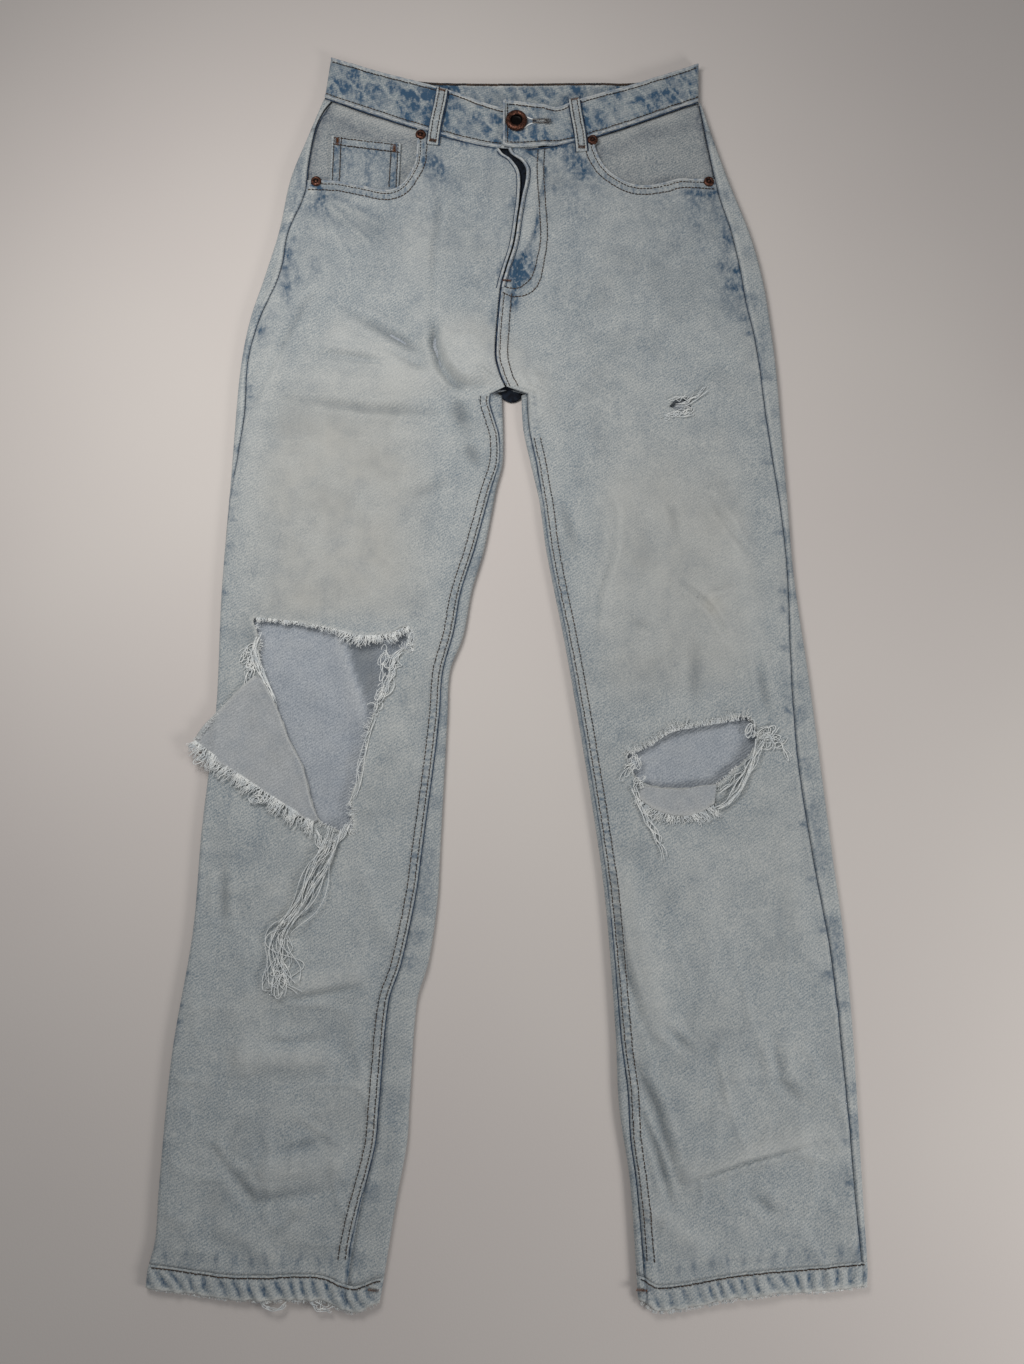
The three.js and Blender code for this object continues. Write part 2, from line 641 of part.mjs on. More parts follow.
// The waistband is one strip: the right front from its underlap, round the right side, the back, round the
// left side, and the left front to its tab.
function waistband() {
  const radius = (BAND_TOP - BAND_REST) / 2;
  const middle = BAND_REST + radius;
  const [right, left] = BAND_SIDES;
  const frontColumns = 12;
  const arcColumns = 5;
  const sideX = (side, h) => mix(side.seam, side.edge, h);
  const tabRaise = (x) => TAB_RAISE * (1 - ease(x, TAB_FLAT_TO, TAB_FLAT_TO + TAB_RAMP));
  const stations = [];
  for (let k = 0; k <= frontColumns; k++) stations.push({ part: "frontRight", t: k / frontColumns });
  for (let k = 1; k < arcColumns; k++) stations.push({ part: "rightSide", t: k / arcColumns });
  for (let k = 0; k <= frontColumns; k++) stations.push({ part: "back", t: k / frontColumns });
  for (let k = 1; k < arcColumns; k++) stations.push({ part: "leftSide", t: 1 - k / arcColumns });
  for (let k = 0; k <= frontColumns; k++) stations.push({ part: "frontLeft", t: k / frontColumns });
  const point = (i, j, depth) => {
    const h = i / 2;
    const { part, t } = stations[j];
    const rightX = sideX(right, h) + radius;
    const leftX = sideX(left, h) - radius;
    const frontY = (x, edge) => mix(FRONT_SEAM(x), edge(x), h);
    const backY = (x) => mix(BACK_SEAM(x), BACK_EDGE(x), h);
    if (part === "frontRight") {
      const x = mix(UNDERLAP_END, rightX, t);
      return new THREE.Vector3(x, frontY(x, FRONT_EDGE_RIGHT), BAND_TOP - depth);
    }
    if (part === "frontLeft") {
      const x = mix(leftX, TAB_END, t);
      return new THREE.Vector3(x, frontY(x, FRONT_EDGE_LEFT), BAND_TOP + tabRaise(x) - depth);
    }
    if (part === "back") {
      const x = mix(rightX, leftX, t);
      return new THREE.Vector3(x, backY(x), BAND_REST + depth);
    }
    const angle = t * Math.PI;
    const out = (radius - depth) * Math.sin(angle);
    const z = middle + (radius - depth) * Math.cos(angle);
    if (part === "rightSide") {
      return new THREE.Vector3(rightX - out, mix(frontY(rightX, FRONT_EDGE_RIGHT), backY(rightX), t), z);
    }
    return new THREE.Vector3(leftX + out, mix(frontY(leftX, FRONT_EDGE_LEFT), backY(leftX), t), z);
  };
  const strip = wallOf(3, stations.length, [0, BAND_WALL], point);
  const half = BUTTON.slot / 2;
  const slotStart = BUTTON.x - half;
  const slotEnd = slotStart + BUTTON.slotLength;
  const slot = [
    [slotStart, BUTTON.y - half], [slotEnd, BUTTON.y - half], [slotEnd, BUTTON.y + half],
    [slotStart, BUTTON.y + half],
  ];
  return cut(strip, prism(slot, BAND_TOP + GAP / 2, ABOVE));
}

// A belt loop is a flat strip on the outer face of the band.
function beltLoop([low, high], bottom, thickness) {
  const dx = high[0] - low[0];
  const dy = high[1] - low[1];
  const length = Math.hypot(dx, dy);
  const loop = new THREE.BoxGeometry(LOOP_WIDTH, length, thickness);
  loop.rotateZ(-Math.atan2(dx, dy));
  return loop.translate((low[0] + high[0]) / 2, (low[1] + high[1]) / 2, bottom + thickness / 2);
}

// A flat five-sided patch pocket on the seat, on the surface that the garment lies on.
function backPocket(half) {
  return prism(BACK_POCKET.map(([x, y]) => [-half.inward * x, y]), 0, CLOTH);
}

// The hollow ring of the button, on a shank that passes through the buttonhole.
function button() {
  const seat = BAND_TOP + TAB_RAISE + GAP;
  const r = BUTTON.radius;
  const profile = [
    [0, BAND_TOP + GAP], [BUTTON.shank, BAND_TOP + GAP], [BUTTON.shank, seat], [r - 2, seat],
    [r - 0.4, seat + 1], [r, seat + 2.2], [r - 0.5, seat + 3.6], [r - 2, seat + 4.8],
    [r - 3.8, seat + 4.8], [r - 5.2, seat + 3.4], [r - 5.6, seat + 1.6], [0, seat + 1.4],
  ];
  const points = profile.map(([x, z]) => new THREE.Vector2(x, z));
  const lathe = new THREE.LatheGeometry(points, 24);
  return lathe.rotateX(Math.PI / 2).translate(BUTTON.x, BUTTON.y, 0);
}

// A domed rivet with a dimple, standing on the cloth.
function rivet(half, [x, y]) {
  const around = [0, 1, 2, 3, 4, 5].map((k) => (k * Math.PI) / 3);
  const seats = around.map((a) =>
    topHeight(half, x + RIVET_RADIUS * Math.cos(a), y + RIVET_RADIUS * Math.sin(a)),
  );
  const seat = Math.max(BAND_TOP, ...seats) + GAP;
  const r = RIVET_RADIUS;
  const profile = [[0, 0], [r, 0], [r, 0.7], [r - 0.8, 1.5], [r - 2.2, 1.7], [r - 3, 1.1], [0, 0.9]];
  const points = profile.map(([radius, z]) => new THREE.Vector2(radius, z));
  return new THREE.LatheGeometry(points, 16).rotateX(Math.PI / 2).translate(x, y, seat);
}

for (const half of Object.values(halves)) {
  add(`front_panel_${half.name}`, frontPanel(half), COLOURS.denim);
  add(`back_panel_${half.name}`, backPanel(half), COLOURS.denimBack);
  add(`back_yoke_${half.name}`, backYoke(half), COLOURS.denimBack);
  add(`back_pocket_${half.name}`, backPocket(half), COLOURS.denimBand);
  add(`pocket_facing_${half.name}`, pocketFacing(half), COLOURS.denimFacing);
  add(`hem_${half.name}`, hem(half), COLOURS.denimBand);
}
add("coin_pocket", coinPocket(halves.right), COLOURS.denimBand);
add("fly_shield", flyShield(), COLOURS.denimFacing);
add("waistband", waistband(), COLOURS.denimBand);

for (const [name, ends] of Object.entries(FRONT_LOOPS)) {
  add(name, beltLoop(ends, BAND_TOP + GAP, LOOP_WALL), COLOURS.denim);
}
for (const [name, ends] of Object.entries(BACK_LOOPS)) {
  add(name, beltLoop(ends, 0, CLOTH), COLOURS.denim);
}

add("torn_flap", patch(halves.right, FLAP_FOLD, FLAP_EDGE, 11, 4, GAP, TRIM_WALL), COLOURS.denim);
add("torn_lip", patch(halves.left, LIP_FOLD, LIP_EDGE, 9, 3, GAP, TRIM_WALL), COLOURS.denim);
for (const [name, f] of Object.entries(FRINGES)) {
  const columns = 2 * f.from.length - 1;
  add(name, patch(halves[f.half], f.from, f.to, columns, 2, f.lift - f.wall, f.wall), COLOURS.yarn);
}

add("button", button(), COLOURS.copper, 0.35, 1);
for (const [name, place] of Object.entries(RIVETS)) {
  add(name, rivet(place[0] < 0 ? halves.right : halves.left, place), COLOURS.copper, 0.4, 1);
}

export default pieces;
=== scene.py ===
import math

import bpy
import numpy as np
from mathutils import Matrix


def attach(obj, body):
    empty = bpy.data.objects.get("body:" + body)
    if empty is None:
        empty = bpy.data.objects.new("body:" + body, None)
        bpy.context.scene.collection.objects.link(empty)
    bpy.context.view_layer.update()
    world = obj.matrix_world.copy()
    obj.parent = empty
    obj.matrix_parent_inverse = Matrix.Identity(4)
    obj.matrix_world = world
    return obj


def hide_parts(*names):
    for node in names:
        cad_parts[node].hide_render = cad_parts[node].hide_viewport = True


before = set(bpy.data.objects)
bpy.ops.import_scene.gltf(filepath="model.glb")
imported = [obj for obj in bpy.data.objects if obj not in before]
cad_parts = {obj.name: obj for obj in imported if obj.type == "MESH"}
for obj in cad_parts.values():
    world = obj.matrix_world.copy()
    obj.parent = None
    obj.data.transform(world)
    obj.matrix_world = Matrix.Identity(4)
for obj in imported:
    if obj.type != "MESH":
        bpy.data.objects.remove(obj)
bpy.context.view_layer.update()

# Ripped jeans laid face up. Sizes are in millimetres until a mesh is made: x runs to the wearer's left,
# y from the hems to the waist and z up from the floor, as in the frame.
mm = 0.001
floorGap = 0.02
print("frame loaded,", len(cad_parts), "nodes")


def curve(stations):
    # Cubic Hermite through (t, value) stations with finite-difference slopes, held level past both ends
    t, v = np.array(sorted(map(tuple, stations)), float).T
    before = np.maximum(np.arange(len(t)) - 1, 0)
    after = np.minimum(np.arange(len(t)) + 1, len(t) - 1)
    slope = (v[after] - v[before]) / (t[after] - t[before])

    def at(value):
        x = np.clip(value, t[0], t[-1])
        i = np.clip(np.searchsorted(t, x, side="right") - 1, 0, len(t) - 2)
        span = t[i + 1] - t[i]
        u = (x - t[i]) / span
        w = 1 - u
        rising = u * u * (3 - 2 * u) * v[i + 1] - u * u * w * span * slope[i + 1]
        return (1 + 2 * u) * w * w * v[i] + u * w * w * span * slope[i] + rising

    return at


def ease(value, start, end):
    # Smoothstep: 0 before start, 1 past end
    t = np.clip((value - start) / (end - start), 0, 1)
    return t * t * (3 - 2 * t)


def mix(a, b, t):
    # From a at t = 0 straight to b at t = 1
    return a + (b - a) * t


def ridge(distance, width):
    # A soft hump: exp of minus the squared distance over the width
    return np.exp(-((distance / width) ** 2))


def cloud(x, y, size, seed):
    # Value noise, -1 to 1: random heights on a square lattice, eased between the corners of each cell
    lattice = np.random.default_rng(seed).uniform(-1, 1, (512, 512))
    gx = np.asarray(x) / size + 256
    gy = np.asarray(y) / size + 256
    i = np.floor(gx).astype(int)
    j = np.floor(gy).astype(int)
    u = ease(gx - i, 0, 1)
    v = ease(gy - j, 0, 1)
    i, j = i % 511, j % 511
    low = mix(lattice[i, j], lattice[i + 1, j], u)
    high = mix(lattice[i, j + 1], lattice[i + 1, j + 1], u)
    return mix(low, high, v)


def through(points):
    # A smooth line through points, as a function of 0 to 1 counted by their number
    p = np.array(points, float)
    t = np.linspace(0, 1, len(p))
    parts = [curve(zip(t, column)) for column in p.T]
    return lambda s: np.stack([part(s) for part in parts], axis=-1)


def smoothLine(points, step=1.0):
    # A smooth line through points with a point every step along it
    p = np.array(points, float)
    run = np.concatenate([[0], np.cumsum(np.linalg.norm(np.diff(p, axis=0), axis=1))])
    s = np.linspace(0, run[-1], max(2, round(run[-1] / step) + 1))
    return np.stack([curve(zip(run, column))(s) for column in p.T], axis=1)


def sideways(line):
    # Unit vectors to the left of each step of a line
    along = np.gradient(line, axis=0)
    along /= np.linalg.norm(along, axis=1, keepdims=True)
    return np.stack([-along[:, 1], along[:, 0]], axis=1)


def shifted(line, distance):
    # The line moved to its left by a distance
    return line + sideways(line) * distance


def pointsAt(line, index):
    # Points of a line at fractional indices, straight between its own points
    return np.stack([np.interp(index, np.arange(len(line)), column) for column in line.T], axis=-1)


def lifted(flat, z):
    # Flat points with their heights
    return np.concatenate([flat, z[..., None]], axis=-1)


def nearest(x, y, line):
    # Distance from points to a line of segments, and the nearest point on it
    best = np.full(np.shape(x), 1e9)
    px, py = np.zeros_like(best), np.zeros_like(best)
    for (ax, ay), (bx, by) in zip(line[:-1], line[1:]):
        dx, dy = bx - ax, by - ay
        t = np.clip(((x - ax) * dx + (y - ay) * dy) / (dx * dx + dy * dy + 1e-9), 0, 1)
        nx, ny = ax + t * dx, ay + t * dy
        distance = np.hypot(x - nx, y - ny)
        closer = distance < best
        best = np.where(closer, distance, best)
        px, py = np.where(closer, nx, px), np.where(closer, ny, py)
    return best, px, py


def inside(x, y, outline):
    # Even-odd rule: counts how many edges of the outline a ray along +x crosses
    result = np.zeros(np.shape(x), bool)
    ends = np.roll(outline, -1, axis=0)
    for (ax, ay), (bx, by) in zip(outline, ends):
        if ay == by:
            continue
        crosses = ((ay > y) != (by > y)) & (x < (bx - ax) * (y - ay) / (by - ay) + ax)
        result ^= crosses
    return result


# The cut of the garment. Each half has [row, value] curves: its outer fold, the inner fold of its leg, and
# how far in from each fold its seam lies on the top face.
cutting = {
    "gap": 0.3, "waistRow": 500, "crotchRow": 222, "hemRow": -525, "hemHeight": 18,
    "legTop": 6.5, "seatTop": 7.2, "seatRest": 1.8, "centreBack": 1, "tubeSpare": 40,
}
halves = {
    "right": {
        "inward": 1,
        "outer": curve([
            [504, -169], [464, -184], [423, -199], [373, -208], [328, -220], [286, -232], [236, -239],
            [130, -244], [38, -248], [-65, -249], [-167, -257], [-250, -261], [-348, -274], [-454, -280],
            [-489, -281], [-512, -286], [-525, -287]]),
        "inner": curve([
            [222, -5], [157, -4], [130, -10], [77, -20], [38, -31], [-1, -38], [-31, -49], [-71, -51],
            [-182, -56], [-225, -58], [-275, -65], [-306, -74], [-383, -79], [-419, -81], [-465, -90],
            [-525, -101]]),
        "outseam": curve([
            [500, 8], [481, 4], [461, 6], [436, 12], [410, 17], [371, 9], [328, 14], [280, 8], [245, 6],
            [197, 8], [160, 5], [120, 1], [60, -2], [-525, -5]]),
        "inseam": curve([
            [222, 9], [208, 11], [192, 7], [177, 3.5], [149, 3], [77, 8], [-1, 9], [-30, 6], [-92, 8],
            [-182, 15], [-275, 22], [-410, 25], [-489, 29], [-525, 27]]),
    },
    "left": {
        "inward": -1,
        "outer": curve([
            [504, 178], [452, 193], [412, 206], [368, 221], [324, 231], [284, 236], [239, 240], [119, 246],
            [53, 249], [-32, 258], [-73, 262], [-192, 273], [-251, 279], [-322, 283], [-469, 286],
            [-513, 287], [-525, 286]]),
        "inner": curve([
            [222, 12], [185, 14], [151, 21], [119, 28], [74, 34], [-11, 50], [-90, 63], [-192, 78],
            [-240, 83], [-333, 89], [-390, 91], [-447, 99], [-525, 104]]),
        "outseam": curve([
            [500, 3], [491, 3], [452, 8], [409, 14], [380, 16], [312, 19], [273, 16], [194, 13], [108, 7],
            [53, 6], [-32, 15], [-106, 19], [-192, 17], [-299, 12], [-511, 5]]),
        "inseam": curve([
            [222, 5], [156, 5], [123, 3], [-94, 3], [-333, 4], [-380, 8], [-424, 5], [-525, 6]]),
    },
}
frontSeam = curve([[-170, 504], [-86, 474], [-6, 453], [59, 459], [177, 500]])
frontEdgeRight = curve([[-165, 544], [-110, 527], [-54, 511], [-9, 494], [28, 490]])
frontEdgeLeft = curve([[-4, 499], [30, 495], [46, 494], [67, 502], [123, 519], [178, 538]])
backSeam = curve([[-170, 504], [-110, 488], [-60, 481], [80, 481], [125, 484], [177, 500]])
backEdge = curve([[-165, 544], [-110, 527], [-60, 521], [80, 521], [125, 522], [178, 538]])
hemEdge = curve([
    [-287, -526], [-217, -535], [-149, -535], [-122, -544], [-101, -538], [104, -536], [122, -543],
    [187, -533], [250, -528], [287, -524]])
# Centre front, as [y, x]: the open edge of the right front, and the edge of the left front with its fly
centreRight = curve([
    [453, -8], [447, -4], [441, 4], [431, 10.5], [419, 11.8], [408, 11.3], [398, 10.5], [386, 9], [359, 5],
    [332, -3], [314, -7], [250, -11],
    [232, -7], [222, -2]])
centreLeft = curve([
    [453, 0], [447, 3], [442, 11], [436, 15.5], [431, 17], [419, 16], [408, 13.6], [398, 11.8], [387, 10],
    [359, 6], [332, -2], [314, -6], [250, -10],
    [232, -6], [222, -1]])
mouths = {
    "right": [(-83, 490), (-84, 444), (-88, 430), (-97, 416), (-110, 411), (-135, 416), (-158, 421),
              (-230, 420)],
    "left": [(77, 490), (80, 455), (88, 436), (100, 425), (118, 416), (140, 418), (160, 423), (240, 420)],
}
mouthLines = {name: smoothLine(points, 3) for name, points in mouths.items()}
kneeTears = {
    "right": [
        (-220, 14), (-181, 10), (-142, 2), (-126, -2), (-104, -1), (-84, 6), (-82, -14), (-91, -12),
        (-99, -40), (-117, -77), (-124, -122), (-132, -137), (-131, -167), (-156, -160), (-164, -144),
        (-172, -115), (-184, -92), (-197, -61), (-211, -34), (-214, -4)],
    "left": [
        (101, -103), (119, -96), (138, -84), (161, -79), (184, -75), (205, -72), (212, -88), (207, -101),
        (186, -121), (175, -128), (147, -132), (120, -129), (108, -122)],
}
slitTear = [(143, 205), (149, 211), (163, 213), (161, 207), (164, 203), (152, 201)]

# Ridges, with a positive height, and troughs, with a negative one: the line, its width and its height
creases = [
    ([(-38, 262), (-34, 246)], 24, 7), ([(0, 250), (0, 236)], 18, 3.5), ([(24, 226), (30, 200)], 12, 3),
    ([(-150, 270), (-75, 232)], 15, 3), ([(-175, 232), (-95, 220)], 12, 2.5),
    ([(-205, 250), (-228, 170)], 10, 2),
    ([(100, 130), (84, 10)], 12, 2), ([(196, 100), (214, -20)], 12, 2.5), ([(170, 40), (192, -10)], 10, 2),
    ([(98, -210), (126, -330)], 12, 2.5), ([(150, -440), (235, -412)], 11, 3),
    ([(-190, -296), (-125, -286)], 11, 2.5), ([(-210, -352), (-150, -350)], 11, 2.5),
    ([(-190, -440), (-140, -432)], 12, 2.5),
    # hip and crotch
    ([(-60, 427), (-66, 351), (-65, 300)], 5, -1.1),
    ([(-66, 290), (-65, 262), (-58, 240), (-47, 226), (-30, 219), (-22, 222)], 7, -4.4),
    ([(-50, 252), (-44, 238), (-34, 232)], 9, 1.3), ([(-46, 216), (-38, 186)], 11, -2.0),
    ([(-36, 172), (-26, 152)], 10, -1.6), ([(-20, 250), (-24, 238)], 12, 1.4),
    ([(-80, 420), (-84, 340), (-80, 290)], 14, 1.2),
    ([(17, 240), (23, 222), (26, 196)], 3.2, -1.7), ([(10, 232), (17, 218), (20, 190)], 4.5, 1.2),
    ([(-30, 240), (-14, 230), (-8, 227)], 3, -1.8),
    # thigh of the right half
    ([(-181, 256), (-118, 247), (-95, 240)], 5.5, -1.5), ([(-191, 213), (-125, 203), (-48, 199)], 6, -1.4),
    ([(-150, 300), (-96, 268), (-62, 246)], 7, -2.0), ([(-100, 254), (-66, 238)], 10, -1.4),
    ([(-171, 317), (-185, 301), (-224, 211)], 6, -1.2), ([(-205, 330), (-222, 250)], 9, 1.2),
    ([(-110, 180), (-52, 172)], 9, 1.1), ([(-92, 120), (-48, 138)], 9, -0.9),
    ([(-70, 60), (-60, -30)], 9, 1.0),
    # shin of the right half
    ([(-183, -306), (-121, -295)], 5, -1.5), ([(-205, -340), (-150, -336)], 6, -1.5),
    ([(-187, -426), (-148, -414)], 6, -1.6), ([(-239, -419), (-203, -461), (-137, -452)], 7, -1.6),
    ([(-195, -495), (-166, -470)], 6, -1.5), ([(-238, -190), (-236, -250)], 7, -1.2),
    ([(-150, -395), (-120, -372)], 9, 1.2), ([(-225, -480), (-190, -500)], 9, 1.3),
    ([(-120, -205), (-100, -250)], 9, 1.0), ([(-215, -270), (-180, -262)], 10, 1.0),
    # thigh of the left half
    ([(79, 140), (93, 105), (92, 71), (78, 32), (74, -9)], 5, -1.5), ([(47, 123), (59, 74)], 7, -1.1),
    ([(143, 123), (149, 83)], 6, -1.2), ([(178, 123), (197, 88), (209, 73)], 5, -1.4),
    ([(151, 47), (178, 19), (191, -7)], 4, -1.8), ([(176, 34), (192, 38)], 4, 1.8),
    ([(108, 11), (127, 4)], 5, -1.2), ([(211, 0), (223, -72)], 6, -1.6), ([(161, 0), (160, -63)], 8, -1.0),
    ([(136, 60), (120, 0)], 10, 1.2), ([(232, 60), (240, -30)], 8, 1.1),
    # shin of the left half
    ([(141, -449), (184, -433), (248, -417)], 3.2, -1.9), ([(83, -204), (95, -275), (110, -324)], 6, -1.7),
    ([(98, -345), (121, -390), (136, -447)], 7, -1.8), ([(123, -322), (151, -345)], 6, -1.3),
    ([(216, -329), (222, -368), (244, -390)], 8, -1.3), ([(109, -395), (121, -424), (131, -464)], 5, -1.8),
    ([(118, -470), (150, -492)], 9, 1.6), ([(196, -458), (216, -470)], 8, -1.4),
    ([(160, -200), (170, -300)], 12, 1.0),
    ([(232, -180), (246, -270)], 9, 1.1), ([(190, -360), (170, -400)], 10, 1.0),
]


# How strong the folds, the unevenness and the thin crumpled ridges are, and how often the seams pucker
surface = {
    "folds": 1.7, "swell": (1.0, 38), "ripple": (0.5, 17), "dimple": (0.2, 7), "crumple": (1.0, 0.6),
    "ladderPitch": 6.8, "landWidth": 9, "stitches": (2.8, 8.4),
}


def topLevel(row):
    # Height of the top face: a little more over the seat than along the legs
    return mix(cutting["legTop"], cutting["seatTop"], ease(row, 300, 400))


def bottomLevel(row):
    # Height of the under face: the seat lies on its pockets, the legs on the floor
    return cutting["seatRest"] * ease(row, 190, 228)


def foldInsets(half, x, y):
    # Distances in from the outer fold, and from the inner fold where there is a leg
    outer = np.abs(x - half["outer"](y))
    inner = np.where(y < cutting["crotchRow"], np.abs(x - half["inner"](y)), 200.0)
    return outer, inner


def outSeam(half, x, y):
    # Distance from the side seam: positive on the front, negative on the back
    return half["inward"] * (x - half["outer"](y)) - half["outseam"](y)


def inSeam(half, x, y):
    # The same from the inseam; far away above the crotch
    distance = half["inward"] * (half["inner"](y) - x) - half["inseam"](y)
    return np.where(y < cutting["crotchRow"] - 3, distance, 200.0)


def folds(half, x, y):
    # Creases and a soft unevenness, fading out at the folded sides
    outer, inner = foldInsets(half, x, y)
    height = np.zeros(np.shape(x))
    for line, width, rise in creases:
        reach = 2.5 * width
        xs, ys = zip(*line)
        near = (x > min(xs) - reach) & (x < max(xs) + reach)
        near &= (y > min(ys) - reach) & (y < max(ys) + reach)
        if near.any():
            distance, px, py = nearest(x[near], y[near], line)
            if rise > 0:
                height[near] += rise * ridge(distance, width)
            else:
                # shallower towards both ends
                length = math.dist(line[0], line[-1])
                ends = np.minimum(np.hypot(px - xs[0], py - ys[0]), np.hypot(px - xs[-1], py - ys[-1]))
                rise = rise * (0.25 + 0.75 * ease(ends, 0, 0.4 * length))
                rise = rise * (1 - 0.3 * ease(-y[near], 250, 300) * (x[near] < 0))
                # a thin bottom in a wide hollow, with a low ridge along both sides
                height[near] += 0.8 * rise * ridge(distance, 0.36 * width)
                height[near] += 0.4 * rise * ridge(distance, 1.1 * width)
                height[near] -= 0.45 * rise * ridge(distance - 1.2 * width, 0.5 * width)
    height = surface["folds"] * height
    for seed, (rise, size) in enumerate((surface["swell"], surface["ripple"], surface["dimple"]), 1):
        height += rise * cloud(x, y, size, seed)
    # crumpled cloth has thin ridges where a noise crosses its middle, most of them low on the legs
    crumpled = 0.35 + 0.65 * ease(-y, 180, 360) + 0.5 * ridge(np.hypot(x, y - 215), 70)
    broad, fine = surface["crumple"]
    height += broad * crumpled * ridge(cloud(x + 0.3 * y, 1.3 * y, 42, 26), 0.13)
    height += fine * crumpled * ridge(cloud(1.2 * x - 0.4 * y, y, 27, 27), 0.14)
    return height * ease(np.minimum(outer, inner), 2, 12)


def ladder(x, y):
    # A wave down the inseam, one for each step of its puckers, with an uneven pace
    return np.sin(y * 2 * math.pi / surface["ladderPitch"] + 1.5 * cloud(x, y, 20, 6))


def topRelief(half, x, y):
    # Folds, seam lands and stitched edges
    outer, inner = foldInsets(half, x, y)
    height = folds(half, x, y)
    # side seam: a groove with a soft welt behind it
    side = outSeam(half, x, y)
    pucker = cloud(x * 0.4, y, 7, 5)
    height += ease(outer, 1, 4) * ((0.55 + 0.3 * pucker) * ridge(side + 2.6, 1.9) - 0.8 * ridge(side, 1.0))
    height += ease(outer, 2, 5) * 0.25 * pucker * ridge(side - 4, 5)
    # inseam: a felled land, with ladder puckers between its two rows of stitches
    seam = inSeam(half, x, y)
    land = ease(seam, 0.5, 1.8) - ease(seam, surface["landWidth"] - 0.2, surface["landWidth"] + 1.4)
    height += ease(inner, 1.5, 4) * (land * (0.7 + 0.22 * ladder(x, y)) - 0.8 * ridge(seam, 1.0))
    for row in surface["stitches"]:
        height -= 0.3 * ridge(seam - row, 0.8)
    height += flyRelief(half, x, y) + mouthRelief(half, x, y)
    return height


def flyRelief(half, x, y):
    # The centre front: piped edges above, a felled land below
    upper = ease(y, 318, 340)
    if half["inward"] > 0:
        c = centreRight(y) - x
        piping = 0.9 * ridge(c - 1.6, 1.5) - 0.6 * ridge(c - 4.2, 1.2)
        return np.where(y > 222, upper * piping - (1 - upper) * 0.8 * ridge(c, 1.3), 0) * (y < 456)
    c = x - centreLeft(y)
    strip = 10 + 7 * ease(y, 335, 380)
    raised = 2.0 * (1 - ease(c, strip - 1.2, strip + 1.2)) * ease(c, 3.5, 5.5)
    piping = 1.5 * ridge(c - 1.6, 1.7) - 0.3 * ridge(c - 4.4, 1.0)
    puffed = 0.5 * ridge(c - 9, 3) * ease(y, 340, 370)
    land = 0.75 * (ease(c, 0.6, 1.8) - ease(c, 10.6, 12.2)) - 0.8 * ridge(c, 1.0)
    gusset = 0.6 * cloud(x, y, 6, 8) * ridge(y - 326, 14) * ridge(c - 14, 12)
    above = upper * (raised + piping + puffed) + (1 - upper) * land + gusset
    return np.where((y > 222) & (y < 462) & (c < 70), above, 0)


def mouthRelief(half, x, y):
    # The stitched land below a front pocket's mouth, 10 wide, highest along its edge
    name = "right" if half["inward"] > 0 else "left"
    height = np.zeros(np.shape(x))
    near = (y > 380) & (np.abs(x) > 60)
    if near.any():
        m = nearest(x[near], y[near], mouthLines[name])[0]
        height[near] = 0.7 * (1 - ease(m, 9, 11)) + 0.6 * ridge(m - 1.2, 1.6)
        height[near] -= 0.35 * (ridge(m - 3.4, 0.9) + ridge(m - 9.2, 0.9))
    return height


def topHeight(half, x, y):
    # Height of the fronts' face with all of its relief
    x, y = np.broadcast_arrays(np.asarray(x, float), np.asarray(y, float))
    return topLevel(y) + topRelief(half, x, y)


def rowShift(x, row, turned):
    # Moves a row along y so that the first row follows the waist seam and the last one the hem
    seam = mix(frontSeam(x), backSeam(x), turned)
    waist = (seam - cutting["waistRow"]) * ease(row, 380, cutting["waistRow"])
    return waist + (hemEdge(x) - cutting["hemRow"]) * ease(-row, 430, -cutting["hemRow"])


def ringSizes(half, row):
    # Of the flattened ring of a leg at a row: radius of its folds, outer fold and length of its flat top
    radius = (topLevel(row) - bottomLevel(row)) / 2
    outer = half["outer"](row)
    trunk = np.abs(cutting["centreBack"] - outer) + cutting["tubeSpare"]
    leg = np.abs(half["inner"](row) - outer) - radius
    return radius, outer, np.where(row >= cutting["crotchRow"], trunk, leg) - radius


def ringPoints(half, q, row, relief=None):
    # The point a distance q round the ring, from the outer end of its flat top: along the top, round the
    # inner fold by half a circle, back along the bottom and round the outer fold
    radius, outer, flat = ringSizes(half, row)
    arc = math.pi * radius
    d = np.mod(q, 2 * (flat + arc))
    above = d <= flat
    below = (d >= flat + arc) & (d <= 2 * flat + arc)
    before = d <= 2 * flat + arc
    inward = np.clip((d - flat) / arc, 0, 1)
    outward = np.clip((d - 2 * flat - arc) / arc, 0, 1)
    turned = np.where(before, inward, 1 - outward)
    bulge = radius * np.sin(turned * math.pi)
    run = np.where(before, radius + flat + bulge, radius - bulge)
    run = np.where(above, radius + d, np.where(below, radius + 2 * flat + arc - d, run))
    x = outer + half["inward"] * run
    y = row + rowShift(x, row, turned)
    z = bottomLevel(row) + radius + radius * np.cos(turned * math.pi)
    z = np.where(above, topHeight(half, x, y), z)
    if relief:
        z = np.where(below, z + relief(x, y), z)
    return np.stack([x, y, z], axis=-1)


def gridFaces(rows, columns, looped=False, flipped=False, keep=None):
    # Four-sided faces between neighbouring rows and columns of a grid of points
    spans = columns if looped else columns - 1
    i, j = np.meshgrid(np.arange(rows - 1), np.arange(spans), indexing="ij")
    k = (j + 1) % columns
    near, far = i * columns, (i + 1) * columns
    quads = np.stack([near + j, far + j, far + k, near + k], axis=-1)
    if flipped:
        quads = quads[..., ::-1]
    return quads.reshape(-1, 4) if keep is None else quads[keep]


